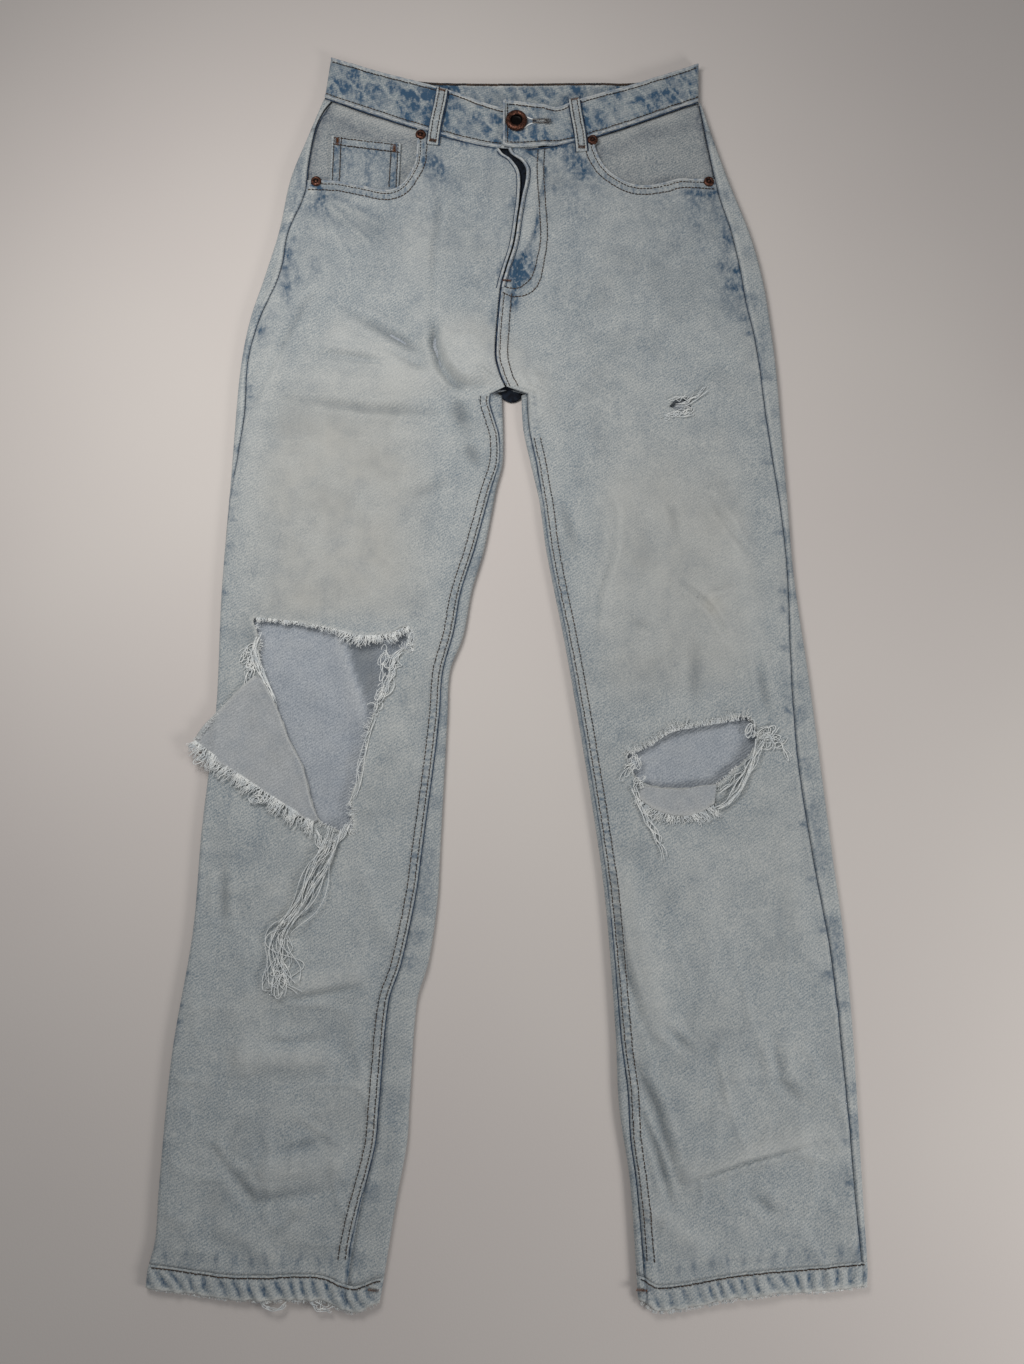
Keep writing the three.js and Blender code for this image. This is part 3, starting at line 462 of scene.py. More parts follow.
def makePiece(name, points, faces, materials, values=None, wall=None, replaces=()):
    # Puts millimetre points and four-sided faces into a mesh; values are named numbers for each point
    points = points.reshape(-1, 3) * 1.0
    points[:, 2] = np.maximum(points[:, 2], floorGap)
    used, packed = np.unique(faces, return_inverse=True)
    packed = packed.reshape(-1, 4)
    mesh = bpy.data.meshes.new(name)
    mesh.vertices.add(len(used))
    mesh.vertices.foreach_set("co", (points[used] * mm).astype(np.float32).ravel())
    mesh.loops.add(packed.size)
    mesh.loops.foreach_set("vertex_index", packed.astype(np.int32).ravel())
    mesh.polygons.add(len(packed))
    mesh.polygons.foreach_set("loop_start", np.arange(0, packed.size, 4, dtype=np.int32))
    mesh.update(calc_edges=True)
    mesh.validate()
    mesh.polygons.foreach_set("use_smooth", np.ones(len(mesh.polygons), bool))
    for key, value in (values or {}).items():
        layer = mesh.attributes.new(key, "FLOAT", "POINT")
        layer.data.foreach_set("value", np.ravel(value)[used].astype(np.float32))
    for material in materials:
        mesh.materials.append(material)
    piece = bpy.data.objects.new(name, mesh)
    bpy.context.scene.collection.objects.link(piece)
    if wall:
        solid = piece.modifiers.new("wall", "SOLIDIFY")
        solid.thickness = wall * mm
        solid.offset = -1
        solid.material_offset = len(materials) - 1
        solid.material_offset_rim = 0
    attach(piece, "root")
    if replaces:
        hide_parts(*replaces)


def tubes(paths, width, height=None, sides=4):
    # An elliptic section carried along each path: centre + width·cos a·side + height·sin a·up, closed at
    # both ends. paths is (count, steps, 3); width and height are half sizes that broadcast to it
    paths = np.asarray(paths, float)
    count, steps = paths.shape[:2]
    along = np.gradient(paths, axis=1)
    along /= np.linalg.norm(along, axis=2, keepdims=True) + 1e-9
    side = np.cross(along, (0.02, 0.01, 1.0))
    side /= np.linalg.norm(side, axis=2, keepdims=True) + 1e-9
    up = np.cross(side, along)
    angle = np.arange(sides) * 2 * math.pi / sides + math.pi / sides
    width = np.broadcast_to(width, (count, steps))[..., None, None]
    height = width if height is None else np.broadcast_to(height, (count, steps))[..., None, None]
    ring = width * np.cos(angle)[:, None] * side[:, :, None]
    ring = ring + height * np.sin(angle)[:, None] * up[:, :, None]
    points = (paths[:, :, None] + ring).reshape(-1, 3)
    body = gridFaces(steps, sides, looped=True)
    first = np.array([[0, a, a + 1, a + 2] for a in range(1, sides - 2, 2)])
    last = first[:, ::-1] + (steps - 1) * sides
    one = np.concatenate([body, first, last])
    faces = (one[None] + (np.arange(count) * steps * sides)[:, None, None]).reshape(-1, 4)
    return points, faces


def makeJoined(name, parts, material, replaces=()):
    # Several (points, faces) as one piece without a wall
    points = [part[0] for part in parts]
    starts = np.cumsum([0] + [len(part) for part in points[:-1]])
    faces = [part[1] + start for part, start in zip(parts, starts)]
    makePiece(name, np.concatenate(points), np.concatenate(faces), [material],
              replaces=replaces)


def onTop(line, lift=0.0):
    # A flat line laid on the fronts, each point on its own half
    x, y = np.asarray(line, float).T
    rightPart = topHeight(halves["right"], x, y)
    leftPart = topHeight(halves["left"], x, y)
    middle = mix(centreRight(y), centreLeft(y), 0.5)
    z = np.where(x < np.where(y > 222, middle, 0), rightPart, leftPart)
    return np.column_stack([x, y, z + lift])


def atHeight(line, z):
    # A flat line lifted to one height
    return np.column_stack([line, np.full(len(line), z)])


def evenly(line, pitch):
    # Points every pitch along a line in space
    run = np.concatenate([[0], np.cumsum(np.linalg.norm(np.diff(line, axis=0), axis=1))])
    s = np.arange(0, run[-1], pitch)
    return np.stack([np.interp(s, run, column) for column in line.T], axis=1)


def stitchRow(line, pitch=3.0, radius=0.5, length=0.88, seed=0):
    # A row of stitches: each is a short thread that comes out of the cloth and dips back into it
    starts = evenly(line, pitch)
    heading = np.gradient(starts, axis=0)
    t = np.array([0, 0.25, 0.75, 1.0]) * length
    paths = starts[:, None] + heading[:, None] * t[None, :, None]
    paths[..., 2] += np.array([-0.35, 0.32, 0.32, -0.35])
    paths[..., :2] += np.random.default_rng(seed).normal(0, 0.12, (len(starts), 1, 2))
    return tubes(paths, radius * np.array([0.7, 1, 1, 0.7]))


def linear(code, alpha=1.0):
    # An sRGB hex value as linear light
    channels = [int(code[i:i + 2], 16) / 255 for i in (1, 3, 5)]
    return [c / 12.92 if c <= 0.04045 else ((c + 0.055) / 1.055) ** 2.4 for c in channels] + [alpha]


def addNode(tree, kind, inputs=None, **settings):
    # One node with its settings; an input is a value, or a (node, output) pair to link from
    node = tree.nodes.new("ShaderNode" + kind)
    for key, value in settings.items():
        setattr(node, key, value)
    for key, value in (inputs or {}).items():
        if isinstance(value, tuple) and isinstance(value[0], bpy.types.Node):
            tree.links.new(value[0].outputs[value[1]], node.inputs[key])
        else:
            node.inputs[key].default_value = value
    return node


def newMaterial(name):
    # A material with its node tree and shader
    material = bpy.data.materials.new(name)
    material.use_nodes = True
    tree = material.node_tree
    tree.nodes.clear()
    shader = addNode(tree, "BsdfPrincipled")
    addNode(tree, "OutputMaterial", {"Surface": (shader, 0)})
    return material, tree, shader


def dress(tree, shader, colour, bump, values):
    # Links the colour and the bump to the shader and sets its plain values
    tree.links.new(colour.outputs[2], shader.inputs["Base Color"])
    tree.links.new(bump.outputs[0], shader.inputs["Normal"])
    for key, value in values.items():
        shader.inputs[key].default_value = value


# Denim after stone washing: blue warp worn to near white, so it looks heathered, matt and slightly hairy.
# Its twill is 0.6 mm apart in life and is drawn at 2.3 mm, because the real one is too fine to show. The
# lengths are in millimetres: heather is the speckle of single yarns, cloud the unevenness of the wash and
# crackleSize the distance between the pale lines of cloth that was creased in it.
denimLooks = {
    "stoneWashedDenim": {"pale": "#bec1bf", "mid": "#7b8891", "deep": "#2d4d68", "stain": "#b1b1ac",
                         "heather": 0.95, "cloud": 24, "turn": 58, "contrast": 1.02, "level": 0.42},
    "denimReverse": {"pale": "#b9bec3", "mid": "#7b8591", "deep": "#546c82", "stain": "#b9b6ab",
                     "heather": 1.0, "cloud": 26, "turn": 58, "contrast": 0.75, "level": 0.42},
    "acidWashedBand": {"pale": "#b6b9b8", "mid": "#71828c", "deep": "#36546f", "stain": "#b9b6ab",
                       "heather": 1.1, "cloud": 30, "turn": 70, "contrast": 1.0, "level": 0.44,
                       "crackleSize": 12},
    "pocketFacingDenim": {"pale": "#b2b4b2", "mid": "#6f7a82", "deep": "#2f3f55", "stain": "#b9b6ab",
                          "heather": 1.1, "cloud": 20, "turn": 62, "contrast": 1.0, "level": 0.44},
}
# rubbed is the pale of abrasion, also used for painted highlights on fold tops; hollow is the grey of painted
# shade in fold hollows
clothLook = {
    "twill": 2.3, "warp": 0.64, "patch": 3.2, "rubbed": "#c9cac6", "hollow": "#545c63",
    "rubAndHighlightShare": 0.4, "hollowShadeShare": 0.75, "streak": 2.6, "streakTurn": 35, "streakBend": (7, 7.0),
}
clothFinish = {"Roughness": 0.93, "Specular IOR Level": 0.2, "Sheen Weight": 0.12, "Sheen Roughness": 0.6}


def denim(name):
    # Pale and mid tones mixed by heather, twill and cloudiness, then stain, unfaded indigo, and wear with
    # painted fold highlights and shade, by the numbers that the mesh carries
    look = denimLooks[name]
    material, tree, shader = newMaterial(name)
    place = addNode(tree, "TexCoord")
    warp = addNode(tree, "Mapping", {"Vector": (place, "Object"),
                                     "Scale": (1000, 1000 * clothLook["warp"], 1000)})
    flat = addNode(tree, "Mapping", {"Vector": (place, "Object"), "Scale": (1000, 1000, 1000)})
    across = addNode(tree, "Mapping", {"Vector": (place, "Object"), "Scale": (1000, 1000, 1000),
                                       "Rotation": (0, 0, math.radians(look["turn"]))})
    heather = addNode(tree, "TexNoise", {"Vector": (warp, 0), "Scale": 1 / look["heather"], "Detail": 3.0,
                                         "Roughness": 0.7})
    # a wave texture of scale 1 repeats every 0.314
    twill = addNode(tree, "TexWave", {"Vector": (across, 0), "Scale": 0.314 / clothLook["twill"],
                                      "Distortion": 4.0, "Detail": 1.0, "Detail Scale": 2.0})
    cloudy = addNode(tree, "TexNoise", {"Vector": (flat, 0), "Scale": 1 / look["cloud"], "Detail": 3.0})
    grain = addNode(tree, "MapRange", {"Value": (heather, "Fac"), "From Min": 0.33, "From Max": 0.67})
    # tone = level + the heather, twill and cloudiness, each about its own middle
    tone = addNode(tree, "Math", {0: (grain, 0), 1: 1.05 * look["contrast"],
                                  2: look["level"] - 0.86 * look["contrast"]}, operation="MULTIPLY_ADD")
    tone = addNode(tree, "Math", {0: (twill, "Fac"), 1: 0.3 * look["contrast"], 2: (tone, 0)},
                   operation="MULTIPLY_ADD")
    tone = addNode(tree, "Math", {0: (cloudy, "Fac"), 1: 0.45 * look["contrast"], 2: (tone, 0)},
                   operation="MULTIPLY_ADD", use_clamp=True)
    colour = addNode(tree, "Mix", {0: (tone, 0), 6: linear(look["pale"]), 7: linear(look["mid"])},
                     data_type="RGBA")
    # dirt and sweat stains
    stain = addNode(tree, "Attribute", attribute_name="stain")
    spread = addNode(tree, "MapRange", {"Value": (cloudy, "Fac"), "From Min": 0.3, "From Max": 0.6,
                                        "To Min": 0.75})
    soiled = addNode(tree, "Math", {0: (stain, "Fac"), 1: (spread, 0)}, operation="MULTIPLY", use_clamp=True)
    # unfaded indigo left beside seams, broken up by the grain
    indigo = addNode(tree, "Attribute", attribute_name="indigo")
    patchy = addNode(tree, "TexNoise", {"Vector": (warp, 0), "Scale": 1 / clothLook["patch"], "Detail": 4.0,
                                        "Roughness": 0.6})
    patch = addNode(tree, "MapRange", {"Value": (patchy, "Fac"), "From Min": 0.36, "From Max": 0.6,
                                       "To Min": 0.25})
    dyed = addNode(tree, "Math", {0: (indigo, "Fac"), 1: (patch, 0)}, operation="MULTIPLY", use_clamp=True)
    if "crackleSize" in look:
        # pale slanted lines where the cloth was creased in the wash, with blue between them
        bendSize, bendReach = clothLook["streakBend"]
        streak = addNode(tree, "Mapping", {"Vector": (place, "Object"),
                                           "Scale": (mm, mm * clothLook["streak"], mm),
                                           "Rotation": (0, 0, math.radians(clothLook["streakTurn"]))},
                         vector_type="TEXTURE")
        bend = addNode(tree, "TexNoise", {"Vector": (flat, 0), "Scale": 1 / bendSize, "Detail": 2.0})
        bent = addNode(tree, "VectorMath", {0: (bend, "Color"), 1: (bendReach, bendReach, bendReach),
                                            2: (streak, 0)}, operation="MULTIPLY_ADD")
        cells = addNode(tree, "TexVoronoi", {"Vector": (bent, 0), "Scale": 1 / look["crackleSize"]},
                        feature="DISTANCE_TO_EDGE", voronoi_dimensions="2D")
        blue = addNode(tree, "MapRange", {"Value": (cells, "Distance"), "From Min": 0.03, "From Max": 0.2},
                       interpolation_type="SMOOTHSTEP")
        region = addNode(tree, "MapRange", {"Value": (cloudy, "Fac"), "From Min": 0.38, "From Max": 0.58,
                                            "To Min": 0.3})
        marked = addNode(tree, "Math", {0: (blue, 0), 1: (region, 0)}, operation="MULTIPLY")
        marked = addNode(tree, "Math", {0: (marked, 0), 1: (patch, 0)}, operation="MULTIPLY")
        dyed = addNode(tree, "Math", {0: (marked, 0), 1: (dyed, 0)}, operation="ADD", use_clamp=True)
    # the tops of folds are paler, partly rubbed by the wash and partly painted highlight, and their hollows
    # are painted grey as shade
    wear = addNode(tree, "Attribute", attribute_name="wear")
    high = addNode(tree, "Math", {0: (wear, "Fac"), 1: clothLook["rubAndHighlightShare"]}, operation="MULTIPLY",
                   use_clamp=True)
    low = addNode(tree, "Math", {0: (wear, "Fac"), 1: -clothLook["hollowShadeShare"]}, operation="MULTIPLY",
                  use_clamp=True)
    # abrasion shows as almost white cloth where indigo is below zero
    rubbed = addNode(tree, "Math", {0: (indigo, "Fac"), 1: -1.0}, operation="MULTIPLY", use_clamp=True)
    for share, code in ((soiled, look["stain"]), (dyed, look["deep"]), (high, clothLook["rubbed"]),
                        (low, clothLook["hollow"]), (rubbed, clothLook["rubbed"])):
        colour = addNode(tree, "Mix", {0: (share, 0), 6: (colour, 2), 7: linear(code)}, data_type="RGBA")
    rough = addNode(tree, "Math", {0: (heather, "Fac"), 1: 0.5, 2: (twill, "Fac")}, operation="MULTIPLY_ADD")
    bump = addNode(tree, "Bump", {"Height": (rough, 0), "Strength": 0.55, "Distance": 0.0004})
    dress(tree, shader, colour, bump, clothFinish)
    return material


# Spun cotton: loose yarn is off-white and hairy, topstitching dark brown with a slight shine, bar tacks are
# rust, and cloth and thread that kept their dye almost black, the dark lines in the seams' grooves partly
# painted shade; a near-black stands in as painted shade in the fly's gap and under the crotch. grain is how
# far apart, in millimetres, the two tones of each lie.
threadLooks = {
    "bleachedCottonYarn": {"colour": "#eceeec", "other": "#ccd2d5", "grain": 5.0, "rough": 0.95},
    "brownCoreSpunThread": {"colour": "#4e3f35", "other": "#2b292c", "grain": 6.0, "rough": 0.75},
    "rustBartackThread": {"colour": "#7d4c2c", "other": "#4a3022", "grain": 3.0, "rough": 0.75},
    "unfadedIndigoAndShade": {"colour": "#1f2c42", "other": "#44586f", "grain": 7.0, "rough": 0.9},
    "fadedWeltDenim": {"colour": "#b8bbbb", "other": "#808c99", "grain": 3.5, "rough": 0.93},
    "nearBlackShadeCloth": {"colour": "#0d1017", "other": "#1c2430", "grain": 4.0, "rough": 0.9},
}


def thread(name):
    # Spun cotton: two tones that change along its length, matt, with fine fibres as bump
    look = threadLooks[name]
    material, tree, shader = newMaterial(name)
    place = addNode(tree, "TexCoord")
    flat = addNode(tree, "Mapping", {"Vector": (place, "Object"), "Scale": (1000, 1000, 1000)})
    noise = addNode(tree, "TexNoise", {"Vector": (flat, 0), "Scale": 1 / look["grain"], "Detail": 3.0})
    tone = addNode(tree, "MapRange", {"Value": (noise, "Fac"), "From Min": 0.38, "From Max": 0.66})
    colour = addNode(tree, "Mix", {0: (tone, 0), 6: linear(look["colour"]), 7: linear(look["other"])},
                     data_type="RGBA")
    # fibres 0.5 mm apart, coarser than in life so that they show
    fibre = addNode(tree, "TexNoise", {"Vector": (flat, 0), "Scale": 1 / 0.5, "Detail": 2.0})
    bump = addNode(tree, "Bump", {"Height": (fibre, "Fac"), "Strength": 0.5, "Distance": 0.0002})
    dress(tree, shader, colour, bump, {"Roughness": look["rough"], "Specular IOR Level": 0.2})
    return material


copperLook = {"patina": "#2c1a15", "bright": "#7b5140", "hollowDark": "#0d0a09", "spots": 1.6}


def agedCopper():
    # Plated copper, tumbled in the wash: brown patina with brighter rubbed spots 1.6 mm apart
    look = copperLook
    material, tree, shader = newMaterial("agedCopper")
    place = addNode(tree, "TexCoord")
    flat = addNode(tree, "Mapping", {"Vector": (place, "Object"), "Scale": (1000, 1000, 1000)})
    noise = addNode(tree, "TexNoise", {"Vector": (flat, 0), "Scale": 1 / look["spots"], "Detail": 4.0,
                                       "Roughness": 0.65})
    worn = addNode(tree, "MapRange", {"Value": (noise, "Fac"), "From Min": 0.4, "From Max": 0.65})
    colour = addNode(tree, "Mix", {0: (worn, 0), 6: linear(look["patina"]), 7: linear(look["bright"])},
                     data_type="RGBA")
    # darker in the hollows: painted shade in the button's hollow top, and a dark ring in each rivet's groove
    tarnish = addNode(tree, "Attribute", attribute_name="tarnish")
    colour = addNode(tree, "Mix", {0: (tarnish, "Fac"), 6: (colour, 2), 7: linear(look["hollowDark"])},
                     data_type="RGBA")
    dull = addNode(tree, "MapRange", {"Value": (noise, "Fac"), "From Min": 0.3, "From Max": 0.7,
                                      "To Min": 0.6, "To Max": 0.36})
    tree.links.new(dull.outputs[0], shader.inputs["Roughness"])
    bump = addNode(tree, "Bump", {"Height": (noise, "Fac"), "Strength": 0.4, "Distance": 0.0002})
    dress(tree, shader, colour, bump, {"Metallic": 0.8})
    return material


faceDenim = denim("stoneWashedDenim")
reverseDenim = denim("denimReverse")
bandDenim = denim("acidWashedBand")
facingDenim = denim("pocketFacingDenim")
yarnMaterial = thread("bleachedCottonYarn")
brownThread = thread("brownCoreSpunThread")
rustThread = thread("rustBartackThread")
indigoAndShadeLines = thread("unfadedIndigoAndShade")
weltDenim = thread("fadedWeltDenim")
nearBlackShade = thread("nearBlackShadeCloth")
copper = agedCopper()
print("materials made")

panelLook = {"rowStep": 2.1, "edgeStep": 1.25, "edgeCells": 10, "middleCells": 74, "wall": 1.3}


def panelRows(first, last, step):
    # Rows from the waist to the hem, with none between the crotch row and the first row of the legs
    crotch = cutting["crotchRow"]
    trunk = np.linspace(first, crotch, max(2, round((first - crotch) / step)))
    legs = np.linspace(crotch - 6, last, round((crotch - last) / step))
    return np.concatenate([trunk, legs])


# Panels end half a gap short of their seams
halfGap = cutting["gap"] / 2
hemTop = cutting["hemRow"] + cutting["hemHeight"] + cutting["gap"]

# Distances between the marks that the wash left along the seams, and the whiskers at the right hip
washLook = {
    # wear: share of the folds' height painted into the cloth as paler tops and shaded hollows
    "seamMarks": 15, "mouthDashes": 5.2, "hemMarks": 13, "whiskerRoot": (-178, 412), "wear": 0.17,
    "whiskerTips": [(-121, 400), (-118, 379), (-127, 361), (-145, 346)],
}


def frontValues(half, x, y):
    # How blue or worn the cloth is, how stained, and how its folds are painted paler on top and shaded in
    # their hollows. Sums of soft bands along the seams and edges, broken up by clouds
    name = "right" if half["inward"] > 0 else "left"
    side, seam = outSeam(half, x, y), inSeam(half, x, y)
    indigo = 0.12 * cloud(x, y, 9, 11)
    blotch = ease(cloud(x * 0.5, y, 13, 12), 0.0, 0.5)
    mark = ease(np.sin(y * 2 * math.pi / washLook["seamMarks"] + 3 * cloud(x, y, 33, 28)), 0.2, 0.9)
    indigo += 0.3 * ridge(side - 1, 6) * blotch + 0.5 * ridge(side, 2.0)
    indigo += 0.6 * mark * ridge(side - 5, 4) * blotch
    indigo -= 0.3 * ridge(side - 2.2, 1.2)
    indigo += 0.3 * ridge(side - 8, 9) * ease(cloud(x, y, 11, 13), 0.1, 0.6) * ease(y, 150, 300)
    between = ease(seam, 2.5, 4) * (1 - ease(seam, 7.5, 9))
    indigo += 0.75 * between * ease(ladder(x, y), 0.1, 0.9) * ease(cloud(x, y, 40, 14), -0.5, 0.3)
    indigo += 0.7 * ridge(seam, 1.6)
    indigo -= 0.35 * ridge(seam - 1.9, 1.0)
    seamDrop = frontSeam(x) - y
    indigo += 0.55 * ridge(seamDrop, 3.0) + 0.5 * ridge(seamDrop - 3, 8) * ease(cloud(x, y, 8, 15), 0, 0.5)
    m = nearest(x, y, mouthLines[name])[0]
    m = np.where((y > 380) & (np.abs(x) > 60), m, 99)
    dashes = ease(np.sin(x * 2 * math.pi / washLook["mouthDashes"] + 2 * cloud(x, y, 12, 16)), 0.1, 0.9)
    dashes *= ease(-np.abs(x), -190, -100)
    indigo += 0.55 * dashes * ease(m, 3, 5) * (1 - ease(m, 8, 9.5)) - 0.6 * ridge(m - 1, 1.7)
    indigo += 0.55 * ridge(m - 14, 4) * ease(np.abs(x), 130, 165) * blotch
    c = (centreRight(y) - x) if name == "right" else (x - centreLeft(y))
    upper = ease(y, 305, 330) * (y < 460)
    streak = ease(cloud(x * 0.6, y, 16, 17), -0.3, 0.5)
    if name == "right":
        indigo += upper * (-0.6 * ridge(c - 1.5, 1.3) + 0.7 * ridge(c - 5.5, 3) * streak)
        indigo += 0.5 * ridge(c - 4, 3) * (1 - upper) * ease(y, 225, 235) * streak
    else:
        strip = 10 + 7 * ease(y, 335, 380)
        indigo -= upper * 0.65 * ridge(c - 1.7, 1.7)
        indigo -= upper * 0.3 * ease(c, 5, 6.5) * (1 - ease(c, strip - 2, strip))
        veins = 1 - 0.85 * ridge(cloud(x, y, 7, 18), 0.2)
        # a blue patch with pale veins in the curve of the fly, and a smaller one below it
        indigo += 1.9 * ridge(y - 332, 19) * ridge(c - 12, 13) * veins * (0.8 + 0.5 * cloud(x, y, 5, 31))
        indigo += 0.9 * ridge(y - 304, 9) * ridge(c - 12, 5)
        indigo += upper * 1.0 * ridge(c - strip - 0.8, 1.9) * ease(cloud(x, y, 18, 19), -0.7, 0.1)
        indigo += 0.4 * upper * ridge(c - strip - 9, 3) * ease(cloud(x, y, 9, 23), 0, 0.5)
        indigo += 0.5 * ridge(c - 9, 8) * ridge(y - 448, 10)
        indigo += (1 - upper) * (y > 222) * (0.6 * ridge(c, 1.5) - 0.35 * ridge(c - 1.8, 1))
    hemBlotch = ease(np.sin(x * 2 * math.pi / washLook["hemMarks"] + 2 * cloud(x, y, 15, 20)), 0.2, 0.9)
    indigo += 0.5 * hemBlotch * ridge(y - rowShift(x, -495.0, 0.0) + 498, 6)
    # the wash spared the hips beside the side seams and the cloth below the front loops, in veined streaks
    streaks = ease(cloud(x * 1.3 + 0.4 * y, y * 0.45, 15, 29), -0.3, 0.5)
    streaks *= 1 - 0.8 * ridge(cloud(x + 0.3 * y, y * 0.5, 12, 30), 0.16)
    indigo += 0.95 * streaks * ridge(side - 14, 17) * ease(y, 270, 345) * (1 - ease(y, 405, 425))
    indigo += 0.8 * streaks * ridge(np.hypot(x + half["inward"] * 66, 0.7 * (y - 436)), 20)
    # pale whiskers that fan out below the right side rivet, each with a blue one above it
    for tip in washLook["whiskerTips"]:
        whisker = [washLook["whiskerRoot"], tip]
        indigo -= 0.28 * ridge(nearest(x, y, whisker)[0], 2.6)
        indigo += 0.22 * ridge(nearest(x, y - 5, whisker)[0], 2.6)
    # stains on both thighs, and an old rust mark
    if name == "right":
        stain = ease(x, -240, -185) * (1 - ease(x, -110, -50)) * ease(y, 0, 30) * (1 - ease(y, 160, 290))
    else:
        stain = 0.8 * ease(x, 60, 110) * (1 - ease(x, 180, 225)) * ease(y, -70, -20) * (1 - ease(y, 100, 200))
        stain += 0.9 * ridge(np.hypot(x - 178, y - 25), 7)
    stain = 0.8 * stain * (0.9 + 0.2 * cloud(x, y, 30, 21)) + 0.12 * ease(cloud(x, y, 45, 22), 0.1, 0.7)
    indigo += 0.2 * ease(y, 230, 420) + 0.1 * ease(cloud(x * 1.6, y * 0.5, 14, 25), 0.2, 0.8)
    # folds: tops paler, partly rubbing and partly painted highlight; hollows painted shade
    return {"indigo": np.clip(indigo, -1, 1.6), "stain": np.clip(stain, 0, 1),
            "wear": np.clip(washLook["wear"] * folds(half, x, y), -1, 1)}


def dyeValues(indigo, stain=0.0):
    # How blue a cloth is, -1 where abrasion left it white, and how stained
    return {"indigo": np.clip(indigo, -1, 1), "stain": np.full(np.shape(indigo), stain)}


def snapped(points, cells, line):
    # Drops the cells and pulls the points along the new edge onto the line. Gives the kept cells and the
    # points of that edge
    keep = ~cells
    padded = np.pad(keep, 1)
    around = np.stack([padded[:-1, :-1], padded[:-1, 1:], padded[1:, :-1], padded[1:, 1:]])
    inner = np.pad(np.ones_like(keep), 1)
    total = inner[:-1, :-1].astype(int) + inner[:-1, 1:] + inner[1:, :-1] + inner[1:, 1:]
    edge = (around.sum(axis=0) > 0) & (around.sum(axis=0) < total)
    points[edge, :2] = np.stack(nearest(points[edge, 0], points[edge, 1], line)[1:], axis=-1)
    return keep, edge


def frontPanel(name):
    # Spread over the ring's top from side seam to centre front or inseam, then cut along its pocket and tears
    half = halves[name]
    look = panelLook
    rows = panelRows(cutting["waistRow"] - cutting["gap"], hemTop, look["rowStep"])[:, None]
    radius, outer, flat = ringSizes(half, rows)
    start = half["outseam"](rows) + halfGap - radius
    centre = centreRight if name == "right" else centreLeft
    shiftedRows = rows + rowShift(0.0, rows, 0.0)
    endTrunk = np.abs(centre(shiftedRows) - half["inward"] * halfGap - outer) - radius
    endLeg = flat + radius - half["inseam"](rows) - halfGap
    end = np.where(rows >= cutting["crotchRow"], endTrunk, endLeg)
    near = np.arange(look["edgeCells"]) * look["edgeStep"]
    reach = look["edgeCells"] * look["edgeStep"]
    middle = np.linspace(0, 1, look["middleCells"] + 1)
    q = np.concatenate([start + near, mix(start + reach, end - reach, middle), end - near[::-1]], axis=1)
    points = ringPoints(half, q, np.broadcast_to(rows, q.shape))
    x, y = points[..., 0], points[..., 1]
    cx = (x[:-1, :-1] + x[1:, 1:] + x[:-1, 1:] + x[1:, :-1]) / 4
    cy = (y[:-1, :-1] + y[1:, 1:] + y[:-1, 1:] + y[1:, :-1]) / 4
    mouth = mouthLines[name]
    far = 560
    pocket = np.vstack([mouth, [(mouth[-1][0], far), (mouth[0][0], far)]])
    tear = smoothLine(kneeTears[name] + kneeTears[name][:1], 4)
    tear += 0.9 * sideways(tear) * cloud(tear[:, 0], tear[:, 1], 3.1, 31)[:, None]
    openings = [(pocket, mouth), (tear, tear)]
    if name == "left":
        slit = np.array(slitTear + slitTear[:1], float)
        openings.append((slit, slit))
    keep, edge = np.ones(cx.shape, bool), np.zeros(x.shape, bool)
    for outline, line in openings:
        kept, cut = snapped(points, inside(cx, cy, outline), line)
        keep &= kept
        edge |= cut
    points[edge, 2] = topHeight(half, x[edge], y[edge])
    # torn edges are rubbed pale and lift a little
    fromTear = nearest(x, y, tear)[0]
    lift = 0.9 * ridge(fromTear, 5) * (0.5 + cloud(x, y, 9, 32))
    points[..., 2] += np.where(np.abs(y) < 250, lift, 0)
    values = frontValues(half, x, y)
    values["indigo"] -= 0.55 * ridge(fromTear, 2.2)
    faces = gridFaces(*x.shape, flipped=half["inward"] < 0, keep=keep)
    makePiece("front" + name.capitalize(), points, faces, [faceDenim, reverseDenim], values,
              wall=look["wall"], replaces=["front_panel_" + name])


backLook = {"rowStep": 4.0, "topCells": 7, "foldCells": 7, "underCells": 44, "wall": 1.3, "yokeCells": 8}
insideFolds = [
    ([(-146, 6), (-138, -30), (-122, -72), (-120, -96)], 9, 3.4), ([(-190, -20), (-165, -95)], 16, 1.2),
    ([(-170, -40), (-156, -84)], 8, 1.0), ([(-150, -60), (-140, -130)], 12, 0.9),
    ([(130, -95), (190, -112)], 11, 1.5), ([(196, -80), (176, -110)], 7, 1.2),
]
# the deepest of them, as [y, x]
insideFold = curve([[-112, -118], [-80, -121], [-60, -126], [-30, -136], [4, -145]])


def underRelief(x, y):
    # Soft folds of the back, which the tears let one see
    height = 0.35 * (1 + cloud(x, y, 30, 41))
    for line, width, rise in insideFolds:
        height = height + rise * ridge(nearest(x, y, line)[0], width)
    knee = ridge(y + 60, 110)
    return height * knee


